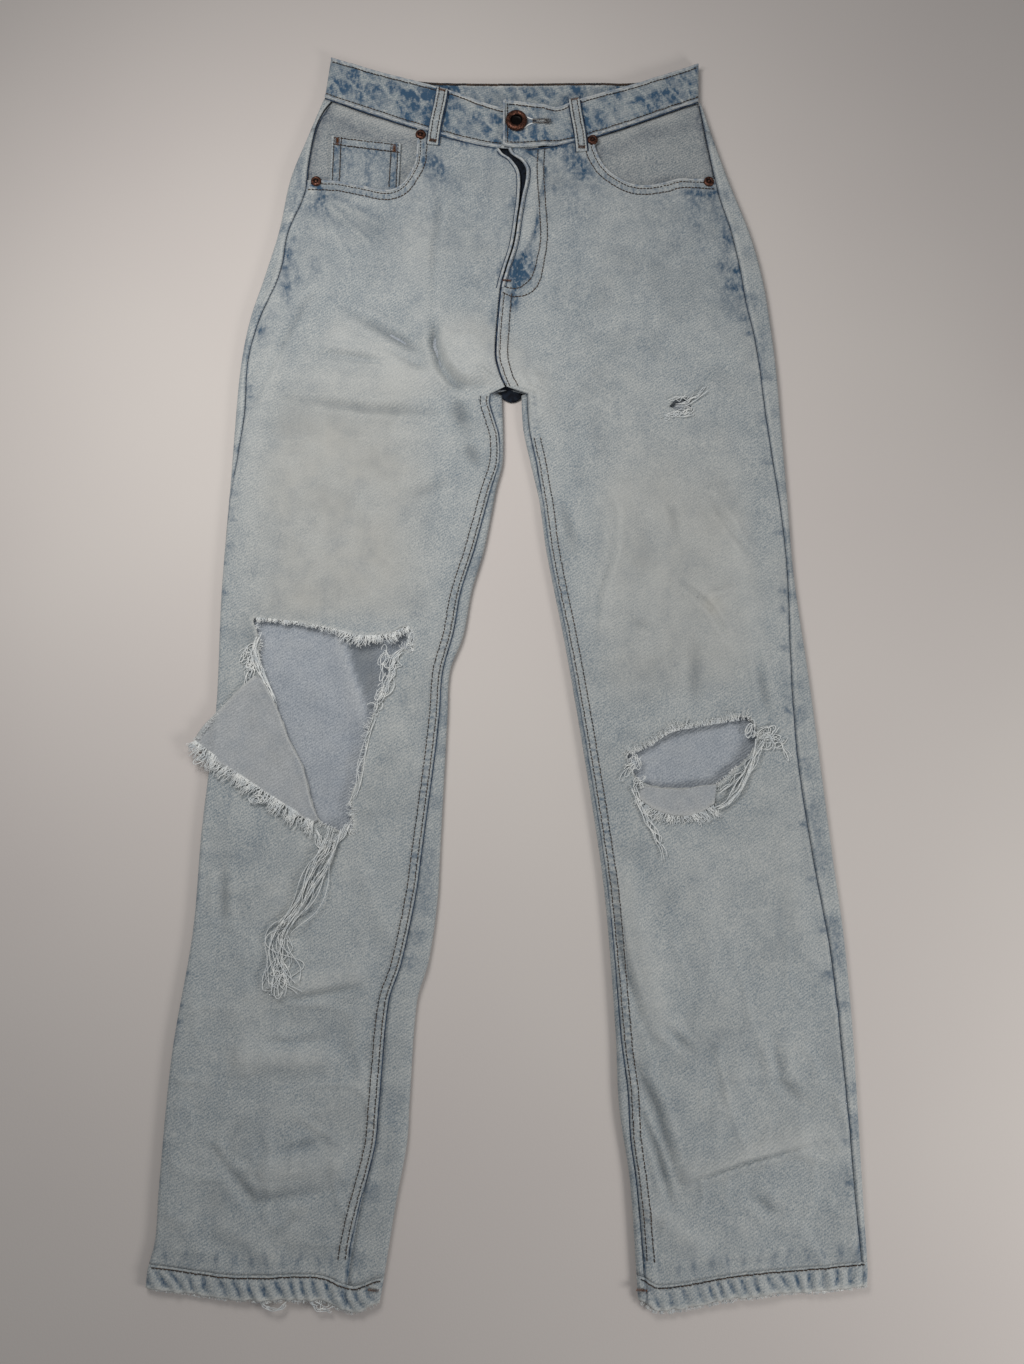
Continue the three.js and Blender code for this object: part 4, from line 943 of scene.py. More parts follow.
def backColumns(half, rows, look):
    # Distances round the ring: from the inseam round the inner fold, under the leg and round the outer
    # fold to the side seam. Above the crotch they start at the centre back.
    radius, outer, flat = ringSizes(half, rows)
    arc = math.pi * radius
    end = 2 * (flat + arc) + half["outseam"](rows) - radius - halfGap
    corner = 2 * flat + arc
    seam = flat + radius - half["inseam"](rows) + halfGap
    top = np.maximum(flat, seam + 0.5)
    fold = np.minimum(2 * (flat + arc), end - 0.5)
    parts = [
        mix(seam, top, np.arange(look["topCells"]) / look["topCells"]),
        mix(top, flat + arc, np.arange(look["foldCells"]) / look["foldCells"]),
        mix(flat + arc, corner, np.arange(look["underCells"]) / look["underCells"]),
    ]
    leg = np.concatenate(parts, axis=1)
    cells = leg.shape[1]
    centre = 2 * flat + arc + radius - np.abs(cutting["centreBack"] - half["inward"] * halfGap - outer)
    trunk = mix(centre, corner, np.arange(cells) / cells)
    first = np.where(rows >= cutting["crotchRow"], trunk, leg)
    outerPart = mix(corner, fold, np.arange(look["foldCells"]) / look["foldCells"])
    last = mix(fold, end, np.arange(look["topCells"] + 1) / look["topCells"])
    return np.concatenate([first, outerPart, last], axis=1)


def backValues(half, x, y):
    # Blue left at the seams; inside the right knee the cloth past its fold is painted in shade, with a
    # painted highlight along the fold
    past = x - insideFold(y)
    knee = ease(y, -125, -60) * (1 - ease(y, 8, 20))
    shade = 0.95 * ease(past, 1, 5) * (1 - ease(past, 8, 44)) * ease(y, -115, -10)
    wear = knee * (0.35 * ridge(past + 1, 4) - shade)
    wear = np.where(np.abs(x + 120) < 90, wear, 0) + 0.12 * cloud(x, y, 19, 53)
    side, seam = outSeam(half, x, y), inSeam(half, x, y)
    blotch = ease(cloud(x * 0.5, y, 11, 51), -0.1, 0.4)
    indigo = 0.1 * cloud(x, y, 9, 52) + 0.55 * ridge(side + 3, 9) * blotch - 0.4 * ridge(side + 2.4, 1.6)
    indigo += 0.45 * ridge(side, 1.8) + 0.4 * ridge(seam + 8, 8) * blotch + 0.5 * ridge(seam, 1.5)
    return dyeValues(indigo) | {"wear": wear}


def yokeReach(columns, look):
    # How far below the waist seam the yoke reaches at each column: 62 at the centre back, 30 at the side
    flatCells = look["topCells"] + look["foldCells"] + look["underCells"]
    return mix(62.0, 30.0, np.clip(np.arange(columns) / flatCells, 0, 1))


def backPanel(name):
    # Round the ring from inseam to side seam, with upper rows that bend to meet the yoke
    half = halves[name]
    look = backLook
    waist = cutting["waistRow"]
    columns = look["topCells"] * 2 + look["foldCells"] * 2 + look["underCells"] + 1
    reach = yokeReach(columns, look)
    body = panelRows(waist - 72, hemTop, look["rowStep"])
    upper = [mix(waist - reach - 0.3, body[0], t) for t in np.arange(8) / 8]
    rows = np.concatenate([np.stack(upper), np.broadcast_to(body[:, None], (len(body), columns))])
    q = np.take_along_axis(
        np.stack([backColumns(half, rows[:, k:k + 1], look) for k in range(columns)], axis=2),
        np.broadcast_to(np.arange(columns)[None, :, None], (len(rows), columns, 1)), axis=2)[..., 0]
    points = ringPoints(half, q, rows, underRelief)
    values = backValues(half, points[..., 0], points[..., 1])
    faces = gridFaces(len(rows), columns, flipped=half["inward"] < 0)
    makePiece("back" + name.capitalize(), points, faces, [faceDenim, reverseDenim], values,
              wall=look["wall"], replaces=["back_panel_" + name])


def backYoke(name):
    # The strip between the waist seam and the back panel
    half = halves[name]
    look = backLook
    columns = look["topCells"] * 2 + look["foldCells"] * 2 + look["underCells"] + 1
    t = np.linspace(0, 1, look["yokeCells"] + 1)[:, None]
    rows = cutting["waistRow"] - 1 - t * (yokeReach(columns, look) - 1)
    q = np.stack([backColumns(half, rows[:, k:k + 1], look)[:, k] for k in range(columns)], axis=1)
    points = ringPoints(half, q, rows)
    values = backValues(half, points[..., 0], points[..., 1])
    faces = gridFaces(*rows.shape, flipped=half["inward"] < 0)
    makePiece("yoke" + name.capitalize(), points, faces, [faceDenim, reverseDenim], values,
              wall=look["wall"], replaces=["back_yoke_" + name])


for name in halves:
    frontPanel(name)
print("fronts cut and torn")
for make in (backPanel, backYoke):
    for name in halves:
        make(name)
print("backs and yokes joined on")

bandLook = {
    "top": 7.5, "rest": 1.8, "wall": 2.4, "frontCells": 110, "sideCells": 10, "backCells": 150, "rows": 24,
    "underlapEnd": 28, "tabEnd": -4, "tabRaise": 2.9, "tabFlat": 31, "tabRamp": 15,
    "right": (-170, -165), "left": (177, 178), "height": 40,
}
frontLoops = {
    "belt_loop_front_right": [(-69, 456), (-66.5, 476), (-62, 500), (-60, 514)],
    "belt_loop_front_left": [(68, 449), (66.5, 466), (63, 488), (61, 504)],
}
backLoops = {
    "belt_loop_back_right": [(-106, 476), (-103, 526)],
    "belt_loop_back_centre": [(2, 473), (2, 521)],
    "belt_loop_back_left": [(110, 472), (107, 519)],
}
frontLoopLook = {"half": 5.0, "level": 9.7, "lowDrop": 0.6, "highDrop": 3.0, "wall": 1.4}
backLoopLook = {"half": 5.0, "level": 1.45, "lowDrop": 0.2, "highDrop": 0.2, "wall": 1.4}


def tabRaise(x):
    # The buttonhole tab lies on the underlap, then comes down to the level of the band
    flat = bandLook["tabFlat"]
    return bandLook["tabRaise"] * (1 - ease(x, flat, flat + bandLook["tabRamp"]))


def bandRelief(x, y, h, tab=False):
    # Piped top edge, ridge along the bottom between two dark lines, and puckers between them
    up, down = h * bandLook["height"], (1 - h) * bandLook["height"]
    height = 0.9 * ridge(down - 1.2, 1.5) - 0.4 * ridge(down - 3.6, 0.9)
    height = height + 0.9 * ridge(up - 1.8, 1.7) - 0.5 * ridge(up - 4.8, 1.0)
    height = height + 0.4 * cloud(x, y * 0.6, 8, 61) + 0.22 * cloud(x, y * 0.5, 4, 62)
    if tab:
        inward = x - bandLook["tabEnd"]
        height = height + 0.9 * ridge(inward - 1.8, 1.7) - 0.35 * ridge(inward - 4.4, 1.0)
    return height


def bandValues(x, y, h):
    # Blue beside the loops, below the right front one and in a broken streak; white along both ridges
    up, down = h * bandLook["height"], (1 - h) * bandLook["height"]
    indigo = 0.25 * cloud(x, y * 0.5, 6, 63)
    indigo = indigo + 0.35 * ease(cloud((x - y) * 0.4, (x + y) * 1.1, 13, 68), 0.0, 0.6) * ease(up, 4, 9)
    indigo = indigo + 0.8 * ridge(np.hypot((x + 84) * 0.8, y - 497), 13) * ease(cloud(x, y, 5, 69), -0.6, 0.1)
    for line in frontLoops.values():
        indigo = indigo + 0.75 * ridge(nearest(x, y, line)[0] - 7, 6) * ease(cloud(x, y, 9, 64), -0.6, 0.2)
    streak = ridge(up - 24 - 5 * cloud(x, 0 * y, 25, 65), 3.5) * ease(cloud(x * 0.7, y, 8, 66), -0.3, 0.4)
    indigo = indigo + 0.7 * streak * ease(np.abs(x), 70, 110)
    indigo = indigo + 0.5 * ridge(up - 7, 3.5) * ease(cloud(x, y, 7, 67), -0.2, 0.5)
    indigo = indigo - 0.75 * (ridge(down - 1.1, 1.5) + ridge(up - 1.7, 1.6))
    return dyeValues(indigo)


def waistband():
    # One strip: right front from its underlap, round the side, the back, round the other side, left front
    look = bandLook
    h = np.linspace(0, 1, look["rows"] + 1)[:, None]
    radius = (look["top"] - look["rest"]) / 2
    middle = look["rest"] + radius
    rightX, leftX = mix(*look["right"], h) + radius, mix(*look["left"], h) - radius
    across = np.arange(look["frontCells"] + 1) / look["frontCells"]
    behind = np.arange(look["backCells"] + 1) / look["backCells"]
    turn = np.arange(1, look["sideCells"]) / look["sideCells"]

    def frontY(x, edge):
        # y on the front, between the waist seam and an upper edge
        return mix(frontSeam(x), edge(x), h)

    def backY(x):
        # the same on the back
        return mix(backSeam(x), backEdge(x), h)

    def side(base, edge, outward, t):
        # half a circle round the side, from the front's line to the back's
        out = radius * np.sin(t * math.pi)
        y = mix(frontY(base, edge), backY(base), t)
        z = middle + radius * np.cos(t * math.pi)
        return np.stack([base + outward * out, y, z + 0 * base], axis=-1)

    x = mix(look["underlapEnd"], rightX, across)
    y = frontY(x, frontEdgeRight)
    frontRight = np.stack([x, y, look["top"] + bandRelief(x, y, h)], axis=-1)
    x = mix(rightX, leftX, behind)
    y = backY(x)
    back = np.stack([x, y, look["rest"] + 0.5 * bandRelief(x, y, h)], axis=-1)
    x = mix(leftX, look["tabEnd"], across)
    y = frontY(x, frontEdgeLeft)
    frontLeft = np.stack([x, y, look["top"] + tabRaise(x) + bandRelief(x, y, h, True)], axis=-1)
    points = np.concatenate([
        frontRight, side(rightX, frontEdgeRight, -1, turn), back, side(leftX, frontEdgeLeft, 1, turn[::-1]),
        frontLeft], axis=1)
    values = bandValues(points[..., 0], points[..., 1], np.broadcast_to(h, points.shape[:2]))
    makePiece("denimWaistband", points, gridFaces(*points.shape[:2]), [bandDenim], values,
              wall=look["wall"], replaces=["waistband"])


def bandTop(x, y, left):
    # Height of the band's outer face on the front
    edge = frontEdgeLeft(x) if left else frontEdgeRight(x)
    h = np.clip((y - frontSeam(x)) / (edge - frontSeam(x)), 0, 1)
    if left:
        return bandLook["top"] + tabRaise(x) + bandRelief(x, y, h, True)
    return bandLook["top"] + bandRelief(x, y, h)


def strap(name, line, look):
    # A loop of cloth: across it, a flat strip with rounded raised edges; along it, both ends turn down
    centre = smoothLine(line, 1.2)
    across = np.linspace(-1, 1, 11)
    offset = sideways(centre)[:, None] * (across * look["half"])[None, :, None]
    flat = centre[:, None] + offset
    along = np.linspace(0, 1, len(centre))[:, None]
    rim = 0.55 * ridge(np.abs(across) - 0.78, 0.2) - 0.25 * ridge(np.abs(across) - 0.5, 0.12)
    ends = look["lowDrop"] * (1 - ease(along, 0, 0.05)) + look["highDrop"] * ease(along, 0.93, 1.0)
    z = look["level"] + rim[None, :] + 0.25 * cloud(flat[..., 0], flat[..., 1], 6, 71) - ends
    points = lifted(flat, z)
    indigo = np.broadcast_to(-0.5 * ridge(np.abs(across) - 0.85, 0.14) + 0.15, z.shape)
    makePiece(name.replace("belt_loop_", "loop_"), points, gridFaces(*z.shape), [faceDenim],
              dyeValues(indigo),
              wall=look["wall"], replaces=[name])


waistband()
for lines, look in ((frontLoops, frontLoopLook), (backLoops, backLoopLook)):
    for name, line in lines.items():
        strap(name, line, look)
print("waistband and loops sewn on")

pocketLook = {"depth": 1.9, "wall": 1.0, "facingIn": {"right": -72, "left": 70}, "facingRow": 396}
coinPocket = [(-163, 412), (-162, 466), (-98, 458), (-100, 404)]


def facingTop(x, y):
    # The facing sags a little inside the pocket's mouth
    return topLevel(y) - pocketLook["depth"] + 0.4 * cloud(x, y, 22, 81) + 0.15 * cloud(x, y, 7, 82)


def pocketFacing(name):
    # From the side seam to a little past the mouth's inner end, blue along both seams
    half = halves[name]
    rows = np.linspace(cutting["waistRow"] - 0.3, pocketLook["facingRow"], 44)[:, None]
    start = half["outer"](rows) + half["inward"] * (np.maximum(half["outseam"](rows), 3) + 0.6)
    x = mix(start, pocketLook["facingIn"][name], np.linspace(0, 1, 50))
    y = rows + rowShift(x, rows, 0.0)
    points = np.stack([x, y, facingTop(x, y)], axis=-1)
    side = outSeam(half, x, y)
    indigo = 0.5 * ridge(side, 6) + 0.4 * ridge(nearest(x, y, mouthLines[name])[0], 9) * ease(
        cloud(x, y, 12, 83), -0.4, 0.4) + 0.3 * ridge(frontSeam(x) - y - 16 - 4 * cloud(x, 0 * y, 20, 87), 7)
    indigo = indigo + 0.14 * ease(cloud(x * 0.6, y, 10, 88), 0.1, 0.6) - 0.3 * ridge(frontSeam(x) - y - 4, 5)
    values = dyeValues(indigo)
    makePiece("pocketFacing" + name.capitalize(), points,
              gridFaces(*x.shape, flipped=half["inward"] < 0), [facingDenim], values,
              wall=pocketLook["wall"], replaces=["pocket_facing_" + name])


def coinPocketPiece():
    # A patch across four corners, with a hem along the top and welted sides, cut off by the pocket's mouth
    lowLeft, highLeft, highRight, lowRight = [np.array(corner, float) for corner in coinPocket]
    s = np.linspace(0, 1, 50)[None, :, None]
    t = np.linspace(0, 1, 40)[:, None, None]
    flat = mix(mix(highLeft, highRight, s), mix(lowLeft, lowRight, s), t)
    x, y = flat[..., 0].copy(), flat[..., 1].copy()
    down, left, right = t[..., 0] * 54, s[..., 0] * 64, (1 - s[..., 0]) * 64
    edges = np.minimum(left, right)
    z = facingTop(x, y) + 1.5 + 0.5 * (1 - ease(down, 8.5, 10)) + 0.5 * ridge(down - 1.2, 1.3)
    z += 0.5 * ridge(edges - 1.2, 1.4) + 0.25 * (1 - ease(edges, 8, 9.5)) + 0.2 * cloud(x, y, 6, 84)
    points = np.stack([x, y, z], axis=-1)
    cx, cy = (x[:-1, :-1] + x[1:, 1:]) / 2, (y[:-1, :-1] + y[1:, 1:]) / 2
    mouth = shifted(mouthLines["right"], 0.5)
    below = np.vstack([mouth, [(-230, 300), (-40, 300), (-40, 490)]])
    keep = snapped(points, inside(cx, cy, below), mouth)[0]
    indigo = -0.4 * ridge(down - 1, 1.4) - 0.35 * ridge(edges - 1, 1.3) + 0.5 * ridge(edges - 4.5, 2)
    indigo = indigo + 0.34 + 0.3 * ease(cloud(x, y * 0.4, 8, 85), -0.3, 0.6) + 0.3 * ridge(down - 12, 2.5)
    values = dyeValues(indigo)
    makePiece("coinPocket", points, gridFaces(*x.shape, keep=keep), [faceDenim], values,
              wall=1.1, replaces=["coin_pocket"])


flyShieldLook = {
    "left": [(-14, 462), (-10, 400), (-14, 350), (-22, 325)],
    "right": [(34, 462), (34, 400), (30, 350), (20, 325)], "depth": 3.2, "columns": 18, "wall": 1.0,
}


def flyShield():
    # The shield behind the open fly, dark navy tape painted near-black as the shade in the fly's gap,
    # straight across between two curved edges
    look = flyShieldLook
    left = smoothLine(look["left"], 3)
    right = through(look["right"])(np.linspace(0, 1, len(left)))
    flat = mix(left[:, None], right[:, None], np.linspace(0, 1, look["columns"])[None, :, None])
    z = topLevel(flat[..., 1]) - look["depth"] + 0.2 * cloud(flat[..., 0], flat[..., 1], 9, 86)
    points = lifted(flat, z)
    makePiece("flyShield", points, gridFaces(*z.shape), [nearBlackShade], wall=look["wall"],
              replaces=["fly_shield"])


crotchLook = {
    "middle": 3.5, "topHalf": 12, "narrowing": 2.5, "row": 233, "length": 22, "level": 4.6, "fall": 4.2,
    "curl": 5, "rise": 0.9, "wall": 1.0,
}


def shadedCrotchFold():
    # Where the four inner seams meet: a narrow saddle of the back's crotch, sunk under the fronts' lower
    # edge, coloured near-black as painted shade.
    # Straight down by t, with a bend across it that grows as s squared times t
    look = crotchLook
    s = np.linspace(-1, 1, 16)[None]
    t = np.linspace(0, 1, 12)[:, None]
    x = look["middle"] + (look["topHalf"] - look["narrowing"] * t) * s
    y = look["row"] - look["length"] * t + look["curl"] * s ** 2 * t
    z = look["level"] - look["fall"] * t + look["rise"] * s ** 2 * t
    points = np.stack([x, y, z], axis=-1)
    makePiece("shadedCrotchFold", points, gridFaces(*x.shape, flipped=True), [nearBlackShade],
              wall=look["wall"])


hemLook = {"cells": 420, "ropePitch": 11, "ropeRise": 0.7, "wall": 2.3}


def hem(name):
    # A ring of cloth turned up twice: its bottom edge is rounded, and it ropes in slanted waves
    half = halves[name]
    hemRow = cutting["hemRow"]
    t = np.concatenate([np.linspace(0, 0.8, 9), np.linspace(0.86, 1, 4)])[:, None]
    rows = mix(hemRow + cutting["hemHeight"], hemRow, t)
    radius, flat = ringSizes(half, rows)[::2]
    around = 2 * (flat + math.pi * radius)
    q = around * (np.arange(hemLook["cells"]) / hemLook["cells"])
    points = ringPoints(half, q, np.broadcast_to(rows, q.shape))
    x, y, z = points[..., 0], points[..., 1], points[..., 2]
    middle = (topLevel(rows) + bottomLevel(rows)) / 2
    facing = np.sign(z - middle) * ease(np.abs(z - middle), 0, 2)
    wave = np.sin((x + 0.45 * y) * 2 * math.pi / hemLook["ropePitch"] + 3.2 * cloud(x, y, 22, 91))
    wave *= 0.75 + 0.4 * cloud(x, y, 14, 95)
    rope = hemLook["ropeRise"] * wave * ease(t, 0.1, 0.35)
    land = 0.15 * ease(t, 0, 0.12) - 0.45 * ridge((t - 0.1) * cutting["hemHeight"], 0.9)
    curl = 1.2 * (1 - np.sqrt(np.clip(1 - ((t - 0.84) / 0.16).clip(0, 1) ** 2, 0, 1)))
    points[..., 2] += facing * (rope + land - curl)
    points[..., 1] += 0.9 * cloud(x, 0 * y, 6, 92) * ease(t, 0.5, 1)
    blue = ease(-wave, 0.0, 0.8) * ease(t, 0.12, 0.3) * (1 - ease(t, 0.7, 0.95))
    indigo = 0.95 * blue - 0.75 * ridge((1 - t) * cutting["hemHeight"] - 0.5, 2.2)
    indigo -= 0.25 * ease(wave, 0.2, 0.9)
    indigo = indigo + 0.5 * ridge(inSeam(half, x, y), 2)
    values = dyeValues(indigo)
    makePiece("hem" + name.capitalize(), points,
              gridFaces(len(rows), q.shape[1], looped=True, flipped=half["inward"] < 0), [faceDenim],
              values, wall=hemLook["wall"], replaces=["hem_" + name])


backPocketLook = {
    "outline": [(155, 408), (150, 262), (92, 236), (34, 250), (26, 386)], "level": 1.45, "wall": 1.2,
    "columns": 30, "rows": 40,
}


def backPocket(name):
    # A flat five-sided patch on the seat: rows from its straight top to its pointed bottom
    look = backPocketLook
    columns, rows = look["columns"], look["rows"]
    outline = np.array(look["outline"], float)
    outline[:, 0] *= -halves[name]["inward"]
    top = mix(outline[4], outline[0], np.linspace(0, 1, columns)[:, None])
    bottom = np.concatenate([mix(outline[3], outline[2], np.linspace(0, 1, columns // 2)[:, None]),
                             mix(outline[2], outline[1], np.linspace(0, 1, columns // 2 + 1)[1:, None])])
    flat = mix(top[None], bottom[None], np.linspace(0, 1, rows)[:, None, None])
    across, down = np.arange(columns), np.arange(rows)
    edge = np.minimum(np.minimum(across, across[::-1])[None, :] * 4.2,
                      np.minimum(down, down[::-1])[:, None] * 3.8)
    z = look["level"] - 0.4 * ridge(edge - 6, 2)
    points = lifted(flat, z)
    values = dyeValues(0.4 * ridge(edge, 4))
    makePiece("backPocket" + name.capitalize(), points,
              gridFaces(*z.shape, flipped=halves[name]["inward"] > 0), [faceDenim], values,
              wall=look["wall"], replaces=["back_pocket_" + name])


for name in halves:
    pocketFacing(name)
coinPocketPiece()
flyShield()
shadedCrotchFold()
for make in (hem, backPocket):
    for name in halves:
        make(name)
print("pockets, fly shield and hems sewn on")

# The folds that the torn cloth turns over and its free edges
flapFold = through([(-212, -37), (-199, -61), (-186, -92), (-174, -115), (-166, -144), (-159, -159)])
flapEdge = through([(-216, -36), (-238, -58), (-265, -93), (-230, -119), (-196, -141), (-163, -162)])
lipFold = through([(112, -131), (130, -133), (147, -134), (163, -131), (176, -130)])
lipEdge = through([(110, -140), (124, -150), (142, -155), (160, -153), (174, -145)])


def turnedCloth(name, half, fold, edge, roll, cells, replaces, droop=0.0):
    # Cloth turned back over a fold: from under the fold, round half a circle of the roll's radius, then
    # down to lie on the panel, its height over the panel fading with the distance from the fold
    s = np.linspace(0, 1, cells[0])
    start, end = fold(s)[:, None], edge(s)[:, None]
    length = np.linalg.norm(end - start, axis=2)
    outward = (end - start) / (length[..., None] + 1e-6)
    squeeze = np.clip(length / 12, 0.25, 1)
    angle = np.linspace(-math.pi / 2, math.pi / 2, 7)[None, :-1]
    t = np.linspace(0, 1, cells[1])[None]
    distance = np.concatenate([-roll * squeeze * np.cos(angle), t * length], axis=1)
    flat = start + outward * distance[..., None]
    x, y = flat[..., 0], flat[..., 1]
    rest = topHeight(half, x, y)
    rollRise = roll * squeeze * (1 + np.sin(angle)) - 0.3
    lying = 1.3 + (2 * roll * squeeze - 1.6) * np.exp(-t * length / 9)
    lying = lying + (0.5 * cloud(x[:, 6:], y[:, 6:], 12, 93) + 0.5) * ease(t * length, 3, 12)
    over = np.abs(half["outer"](y[:, 6:])) < np.abs(x[:, 6:])
    lying = lying - droop * ease(t, 0.3, 1) * over
    z = rest + np.concatenate([rollRise, lying], axis=1)
    points = lifted(flat, z)
    rim = (1 - t) * length
    indigo = np.concatenate([np.full(rollRise.shape, -0.3), 0.1 - 0.5 * ridge(rim, 3) + 0 * lying], axis=1)
    values = dyeValues(indigo + 0.12 * cloud(x, y, 8, 94), 0.3)
    v = np.cross(points[1, 8] - points[0, 8], points[0, 9] - points[0, 8])
    makePiece(name, points, gridFaces(*z.shape, flipped=v[2] < 0), [reverseDenim, faceDenim], values,
              wall=1.1, replaces=replaces)


turnedCloth("tornFlap", halves["right"], flapFold, flapEdge, 1.9, (60, 26), ["torn_flap"], 2.0)
turnedCloth("tornLip", halves["left"], lipFold, lipEdge, 1.5, (34, 12), ["torn_lip"])


def yarnPaths(rng, count, steps, wander, waves=(1.0, 3.5)):
    # Sideways wander of loose yarns: three sines with random phases, nothing at the root
    t = np.linspace(0, 1, steps)
    total = np.zeros((count, steps))
    for k in range(3):
        rate = rng.uniform(*waves, (count, 1))
        phase = rng.uniform(0, 2 * math.pi, (count, 1))
        wave = np.sin(rate * 2 * math.pi * t + phase) - np.sin(phase)
        total += rng.normal(0, wander / (k + 1), (count, 1)) * wave
    return total * ease(t, 0, 0.4)


def bristles(half, line, toward, count, length, seed, lift=0.2, radius=0.36, spread=0.22):
    # Short yarns along a torn edge: each starts on the line and runs off to one side, curling a little
    rng = np.random.default_rng(seed)
    path = smoothLine(line, 1)
    root = rng.uniform(0, len(path) - 1, count)
    base = pointsAt(path, root)
    normal = pointsAt(sideways(path), root) * toward
    turn = rng.normal(0, spread, count) + 0.5 * cloud(root, 0 * root, 8, seed + 1)
    cos, sin = np.cos(turn), np.sin(turn)
    heading = np.stack([normal[:, 0] * cos - normal[:, 1] * sin,
                        normal[:, 0] * sin + normal[:, 1] * cos], axis=1)
    across = np.stack([-heading[:, 1], heading[:, 0]], axis=1)
    steps = 7
    t = np.linspace(0, 1, steps)
    reach = rng.uniform(*length, count) * (0.75 + 0.5 * ease(cloud(root, 0 * root, 9, seed + 2), -0.5, 0.5))
    sway = yarnPaths(rng, count, steps, 0.7)
    rooted = 1.6  # how far a yarn runs back into the cloth
    run = t * (reach[:, None] + rooted)
    flat = (base - normal * rooted)[:, None] + heading[:, None] * run[..., None]
    flat = flat + across[:, None] * sway[..., None]
    z = topHeight(half, base[:, 0], base[:, 1])[:, None] + lift
    z = z + rng.uniform(0, 0.9, (count, 1)) * np.sin(t * math.pi * 0.8) + rng.uniform(-0.2, 0.3, (count, 1))
    paths = lifted(flat, z)
    thick = radius * rng.uniform(0.7, 1.1, (count, 1)) * mix(1.0, 0.6, t)
    return tubes(paths, thick)


def strands(half, line, count, spread, seed, lift=0.6, radius=0.4, steps=30, waves=(1.0, 3.0), bounce=1.0):
    # Long loose yarns that follow a line, wandering within a spread that may change along it
    rng = np.random.default_rng(seed)
    path = smoothLine(line, 1)
    t = np.linspace(0, 1, steps)
    first = rng.uniform(0, 0.12, (count, 1))
    last = rng.uniform(0.82, 1.0, (count, 1))
    index = mix(first, last, t[None]) * (len(path) - 1)
    base = pointsAt(path, index)
    normal = pointsAt(sideways(path), index)
    width = np.interp(index / (len(path) - 1), np.linspace(0, 1, len(spread)), spread)
    lane = rng.uniform(-1, 1, (count, 1))
    sway = yarnPaths(rng, count, steps, 0.45, waves)
    flat = base + normal * ((lane * 0.8 + sway) * width)[..., None]
    z = topHeight(half, flat[..., 0], flat[..., 1]) + lift + rng.uniform(0, bounce, (count, 1))
    turns = t * 2 * math.pi * rng.uniform(1, 3, (count, 1))
    z = z + 0.5 * bounce * (1 + np.sin(turns + rng.uniform(0, 6, (count, 1))))
    paths = lifted(flat, z)
    return tubes(paths, radius * rng.uniform(0.75, 1.15, (count, 1)))


def tangle(half, centre, size, count, seed, lift=0.8, radius=0.4):
    # Looped yarns round a spot: each is an ellipse drawn one to two times round, with its own wobble
    rng = np.random.default_rng(seed)
    steps = 26
    t = np.linspace(0, 1, steps)
    angle = rng.uniform(0, 6.28, (count, 1)) + t * 2 * math.pi * rng.uniform(0.6, 1.6, (count, 1))
    drift = (rng.normal(0, 0.35, (count, 1, 2)) + rng.normal(0, 0.4, (count, 1, 2)) * t[None, :, None]) * size
    ax = size[0] * rng.uniform(0.3, 1.0, (count, 1))
    ay = size[1] * rng.uniform(0.3, 1.0, (count, 1))
    flat = np.stack([ax * np.cos(angle), ay * np.sin(angle + rng.uniform(0, 1, (count, 1)))], axis=2)
    flat = flat * 0.7 + drift + np.array(centre)
    z = topHeight(half, flat[..., 0], flat[..., 1]) + lift
    z = z + rng.uniform(0, 1.5, (count, 1)) + 0.8 * np.sin(angle * 1.3)
    paths = lifted(flat, z)
    return tubes(paths, radius * rng.uniform(0.75, 1.15, (count, 1)))


right, left = halves["right"], halves["left"]
makeJoined("frayRightKneeTop", [
    bristles(right, [(-218, 13.5), (-181, 9.5), (-142, 1.5)], -1, 120, (1.5, 3.5), 101, 0.3, 0.42),
    bristles(right, [(-142, 1.5), (-126, -2.5), (-104, -1.5), (-84, 6)], -1, 130, (4, 9), 104, 0.4, 0.46),
    bristles(right, [(-86, 5.5), (-82, 2), (-81, -8), (-82, -15)], -1, 46, (2, 7), 230, 0.3),
    tangle(right, (-85, -5), (4, 8), 6, 233, 0.3),
], yarnMaterial, replaces=["fringe_knee_right_top"])
makeJoined("frayRightKneeSide", [
    bristles(right, [(-84, -14), (-92, -14), (-99, -40), (-117, -77), (-124, -122), (-132, -137),
                     (-131, -165)], -1, 110, (1.5, 6), 107),
    strands(right, [(-88, -12), (-100, -22), (-104, -44), (-113, -62)], 9, [3, 8, 5, 3], 110, 0.8),
    tangle(right, (-104, -24), (8, 12), 9, 113), tangle(right, (-108, -48), (6, 9), 6, 116),
    tangle(right, (-110, -62), (5, 6), 5, 119),
    strands(right, [(-112, -70), (-121, -100), (-124, -126), (-133, -150)], 3, [2, 2, 2, 2], 122, 0.3),
], yarnMaterial, replaces=["fringe_knee_right_side"])
makeJoined("frayRightKneeCorner", [
    tangle(right, (-222, -18), (7, 9), 9, 125, 0.8), tangle(right, (-219, -32), (6, 9), 8, 128, 1.0),
    strands(right, [(-212, 2), (-217, -14), (-210, -34), (-196, -61)], 10, [2, 3, 2.5, 2], 131, 0.9),
    bristles(right, [(-217, 10), (-213, -6), (-213, -28), (-206, -45)], 1, 26, (2, 5), 134),
], yarnMaterial, replaces=["fringe_knee_right_corner"])
